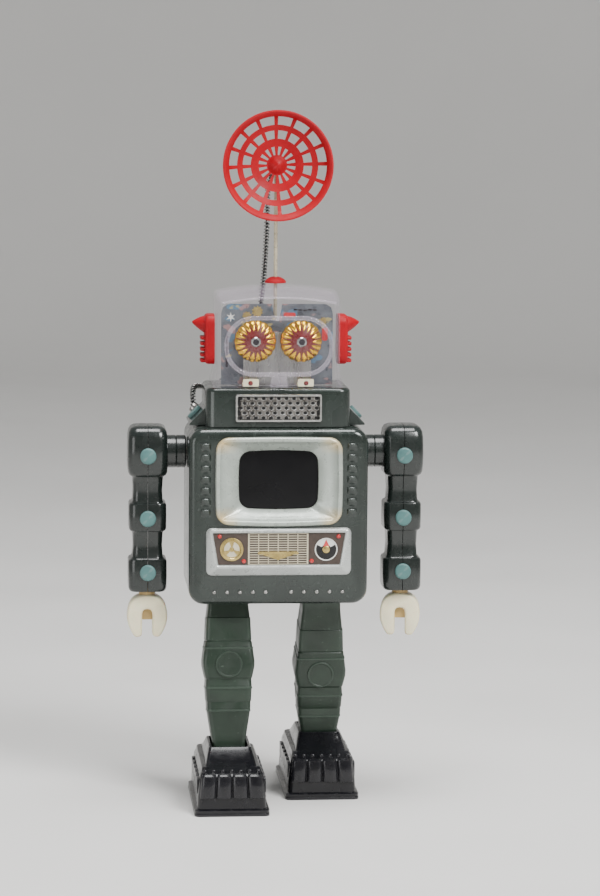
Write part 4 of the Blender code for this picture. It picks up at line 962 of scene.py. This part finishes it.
CLAW_OUTER = ((0.0, 109.9), (2.6, 109.8), (5.4, 109.0), (7.9, 107.2), (9.6, 104.6), (10.5, 101.4),
              (10.8, 98.0), (10.4, 94.6), (9.4, 91.6), (8.0, 88.9), (6.8, 87.3), (5.6, 86.8))
CLAW_INNER = ((4.2, 86.9), (3.1, 87.5), (2.75, 88.4), (2.75, 91.0), (2.75, 95.0), (2.75, 99.0), (2.4, 100.6),
              (1.5, 101.6))


def make_claw(side, sign):
    """C-shaped hand: a domed palm and two tapering fingers, with a web at the top of the gap. Web and stem
    are a darker tan copy of the cream: painted shade in the slot and painted shadow under the wrist.
    """
    half = [(p.x, p.z) for p in smooth_route(upright(CLAW_OUTER, 0), 0.8)] + list(CLAW_INNER)
    outline = half + [(0.0, 101.9)] + [(-u, z) for u, z in reversed(half[1:])]
    steps = [(-5.3, 1.25), (-5.05, 0.7), (-4.6, 0.3), (-4.0, 0.08), (-3.2, 0.0)]
    steps += [(-y, inset) for y, inset in reversed(steps)]
    loops = [upright(shrunk(outline, inset), y) for y, inset in steps]
    turn = moved((sign * ARM_X, 0, 0), (0, 0, radians(-8.0 if side == "right" else 0.0)))
    body = side + "_claw"
    make_piece(body + "_fine", *skin(loops), "cream_plastic", body, [body], sharp=50, turn=turn)
    # Web and stem take the darker tan as painted shade.
    web = rounded_rect(5.8, 6.6, 0.5, (0, 99.4), 3)
    make_piece(body + "_web", *plate("Y", -2.6, 2.6, web), "palm_tan", body, bevel=0.3, turn=turn)
    cuff = [(108.6, 0), (108.6, 4.4), (111.4, 4.4), (111.4, 3.1), (116.4, 3.0), (116.4, 0)]
    make_piece(body + "_stem", *turned("Z", (0, 0), cuff, 32), "palm_tan", body, turn=turn)


# ---------------------------------------------------------------- legs and boots
# Each station of an arm, leg or boot is a height or drop with half sizes across and along.
LEG_STATIONS = ((8.6, 10.1, 9.0), (15.5, 10.3, 9.5), (25.6, 11.4, 10.5), (26.0, 11.7, 10.8),
                (37.6, 12.2, 11.0), (38.2, 12.0, 10.6), (38.8, 12.4, 11.0), (41.6, 12.7, 11.2),
                (42.4, 12.9, 11.4), (49.0, 13.8, 11.6), (52.0, 13.7, 11.6), (57.6, 12.5, 11.1),
                (58.6, 12.1, 10.5), (59.6, 12.1, 10.5), (61.8, 12.2, 11.2), (63.2, 12.2, 11.2),
                (70.0, 11.9, 10.3), (70.8, 11.6, 9.9), (71.8, 11.6, 9.9), (74.0, 11.5, 10.3),
                (75.4, 11.3, 10.3), (92.0, 8.8, 8.2), (100.0, 8.4, 7.7))



def make_leg(side, sign):
    """Leg shell hung from its hip pin, with three pressed ridges and a round knee boss."""
    hip = moved((sign * LEG_X, sign * HIP_Y, HIP_Z - sign * HIP_RISE), (sign * LEG_LEAN, 0, 0))
    body, thickness = side + "_leg", 0.9
    loops = []
    for wall, stations in ((0.0, LEG_STATIONS), (thickness, LEG_STATIONS[::-1])):
        for drop, half_x, half_y in stations:
            outline = rounded_rect(2 * (half_x - wall), 2 * (half_y - wall), 2.4 - wall, steps=5)
            loops.append(level(divided(outline, 4), -drop))
    shell = skin(loops, ring=True)
    make_piece(body + "_fine", *shell, "leg_tin", body, [body + "_shell"], sharp=25, turn=hip)
    ridges = []
    for drop, half_x, half_y in ((42.0, 12.8, 11.3), (63.2, 12.2, 11.2), (75.3, 11.3, 10.3)):
        loops = []
        for offset, proud in ((-0.8, -0.3), (-0.5, 0.2), (0.0, 0.32), (0.5, 0.2), (0.8, -0.3)):
            outline = rounded_rect(2 * (half_x + proud), 2 * (half_y + proud), 2.6, steps=6)
            loops.append(level(outline, -drop + offset))
        inner = rounded_rect(2 * (half_x - 0.8), 2 * (half_y - 0.8), 1.8, steps=6)
        ridges.append(skin(loops + [level(inner, -drop + 0.8), level(inner, -drop - 0.8)], ring=True))
    make_piece(body + "_ridges", *joined(ridges), "leg_tin", body, turn=hip)
    knee = [(-11.0, 7.2), (-12.0, 7.2), (-12.35, 6.9), (-12.35, 6.2), (-12.15, 5.9), (-12.15, 0)]
    boss = turned("Y", (0, -50.6), knee, 48)
    make_piece(side + "_knee_boss", *boss, "leg_tin", body, turn=hip, sharp=25)


BOOT_STATIONS = ((0.0, 19.8, 0.0, 0.0, 3.0), (1.2, 19.8, 0.0, 0.0, 3.0), (1.6, 19.5, 0.3, 0.3, 2.8),
                 (2.0, 19.7, 0.1, 0.1, 3.0), (3.0, 19.7, 0.1, 0.1, 3.0), (3.4, 19.2, 0.8, 0.6, 3.0),
                 (3.7, 18.2, 2.2, 1.8, 3.0), (9.0, 18.0, 2.6, 2.0, 3.0), (9.4, 18.0, 2.4, 2.0, 3.0),
                 (20.4, 16.7, 3.8, 3.0, 3.0), (21.4, 16.3, 4.6, 3.2, 3.0), (22.0, 15.9, 5.8, 3.4, 3.0),
                 (23.9, 15.4, 9.4, 3.6, 3.0), (24.3, 14.9, 10.4, 4.2, 2.6), (24.4, 13.4, 10.8, 9.0, 2.2),
                 (32.0, 11.2, 21.4, 20.8, 1.8), (32.4, 10.9, 21.8, 21.2, 1.6))


def make_boot(side, sign):
    """Hollow boot with four swelling toe lobes, a row of beads over them and panels down its sides."""
    x, body = sign * LEG_X, side + "_foot"
    y = sign * (HIP_Y + ANKLE_DROP * sin(LEG_LEAN))
    loops = []
    for wall, stations in ((0.0, BOOT_STATIONS), (1.2, BOOT_STATIONS[::-1])):
        for z, half_x, toe, heel, radius in stations:
            front, rear = y - BOOT_HALF_LENGTH + toe + wall, y + BOOT_HALF_LENGTH - heel - wall
            height = z - wall * 0.8 if 3.5 < z < 32.3 else z
            middle = (x, (front + rear) / 2)
            outline = rounded_rect(2 * (half_x - wall), rear - front, radius - wall * 0.5, middle, 6)
            loops.append(level(divided(outline, 5), height))
    boot = side + "_boot"
    make_piece(boot + "_fine", *skin(loops, ring=True), "boot_plastic", body, [boot], sharp=28)
    toe = y - BOOT_HALF_LENGTH
    swell = [(u, 1.6 - 1.9 * (1 - u ** 4) ** 0.5) for u in (0.0, 0.3, 0.6, 0.85, 0.97, 1.0)]
    swell = [(-u, v) for u, v in swell[:0:-1]] + swell + [(1.0, 3.0), (-1.0, 3.0)]
    lobes = []
    for k in range(4):
        loops = []
        for z, front, half in ((9.0, 2.6, 3.9), (9.5, 1.3, 4.0), (10.4, 1.0, 4.0), (19.6, 2.5, 3.9),
                               (20.8, 2.9, 3.8), (21.6, 4.0, 3.6)):
            centre = x + (k - 1.5) * 8.6 * (1 - 0.07 * (z - 9.2) / 11.6)
            loops.append([(centre + half * u, toe + front + v, z) for u, v in swell])
        lobes.append(skin(loops))
    make_piece(side + "_toe_ribs", *joined(lobes), "boot_plastic", body, sharp=30)
    bead = [(22.0, 1.3), (22.9, 1.2), (23.6, 0.8), (23.9, 0)]
    beads = [turned("Z", (x + (k - 3) * 4.7, toe + 7.0), bead, 14) for k in range(7)]
    make_piece(side + "_toe_beads", *joined(beads), "boot_plastic", body)
    panels = []
    for edge in (-1, 1):
        for k in range(6):
            outline = rounded_rect(7.6, 8.4, 1.2, (y + (k - 2.5) * 9.6, 14.6), 3)
            panels.append(plate("X", x + edge * 18.2, x + edge * 17.0, outline))
    make_piece(boot + "_panels", *joined(panels), "boot_plastic", body, bevel=0.3)


# ---------------------------------------------------------------- pieces kept from the CAD model
def dress_cad_nodes():
    slots = {part["node"]: part["material_slot"] for part in frame["record"]["subparts"]}
    for name, node in frame["nodes"].items():
        paint = PAINTS["mast_steel" if name == "mast" else slots[name]]
        node.data.materials.clear()
        node.data.materials.append(paint)


# ---------------------------------------------------------------- studio
def make_studio():
    """Pale floor that sweeps up all round, a soft grey sky and three soft lamps. Lengths are in metres."""
    world = bpy.data.worlds.new("studio")
    bpy.context.scene.world = world
    world.use_nodes = True
    sky = world.node_tree.nodes["Background"]
    sky.inputs["Color"].default_value = (0.86, 0.87, 0.88, 1.0)
    sky.inputs["Strength"].default_value = 0.42
    flat, bend, height = 2.3, 0.9, 2.0
    sweep = [(0.0, 0.0), (0.0, 1.2), (0.0, flat)]
    sweep += [(bend * (1 - v), flat + bend * u) for v, u in circle(1.0, 36)[1:10]]
    sweep += [(height, flat + bend)]
    points, faces = turned("Z", (0.0, 0.0), [(z / MM, radius / MM) for z, radius in sweep], 96)
    mesh = bpy.data.meshes.new("studio_floor")
    mesh.from_pydata([Vector(p) * MM for p in points], [], faces)
    mesh.materials.append(finish("floor", (0.76, 0.75, 0.73), 0.62, shade=0.97, mottle=3.0, bump=0.0))
    mesh.shade_smooth()
    placed("studio_floor", mesh)
    for name, place, size, power in (("key", (0.75, -1.05, 1.25), 0.6, 34.0),
                                     ("fill", (-1.2, -1.0, 0.35), 0.8, 6.0),
                                     ("top", (0.0, -0.15, 1.45), 0.7, 22.0)):
        light = bpy.data.lights.new(name, "AREA")
        light.size = size
        light.energy = power
        lamp = placed(name, light)
        lamp.location = place
        lamp.rotation_euler = (Vector((0, 0, 0.2)) - Vector(place)).to_track_quat("-Z", "Y").to_euler()


def make_camera():
    """The camera stands to the left, a little above the middle of the robot, and looks slightly down."""
    data = bpy.data.cameras.new("camera")
    data.lens = 126.06
    data.sensor_width = 36.0
    data.clip_end = 20.0
    camera = placed("camera", data)
    camera.location = (-0.1297, -1.6598, 0.3923)
    yaw, pitch, roll = radians(4.93), radians(6.99), radians(0.43)
    ahead = Vector((sin(yaw) * cos(pitch), cos(yaw) * cos(pitch), -sin(pitch)))
    camera.rotation_euler = (ahead.to_track_quat("-Z", "Y") @ Quaternion((0, 0, 1), roll)).to_euler()
    bpy.context.scene.camera = camera


# ---------------------------------------------------------------- assembly
make_camera()
make_drive_spring()
dress_cad_nodes()
make_torso()
make_screen()
make_tray()
make_dials()
make_grid()
make_neck()
make_grille()
make_dome()
make_instruments()
make_bracket()
make_dish()
make_mast_parts()
for piece_side, piece_sign in SIDES:
    make_eye(piece_side, piece_sign)
    make_ear(piece_side, piece_sign)
    make_arm(piece_side, piece_sign)
    make_claw(piece_side, piece_sign)
    make_leg(piece_side, piece_sign)
    make_boot(piece_side, piece_sign)
make_studio()
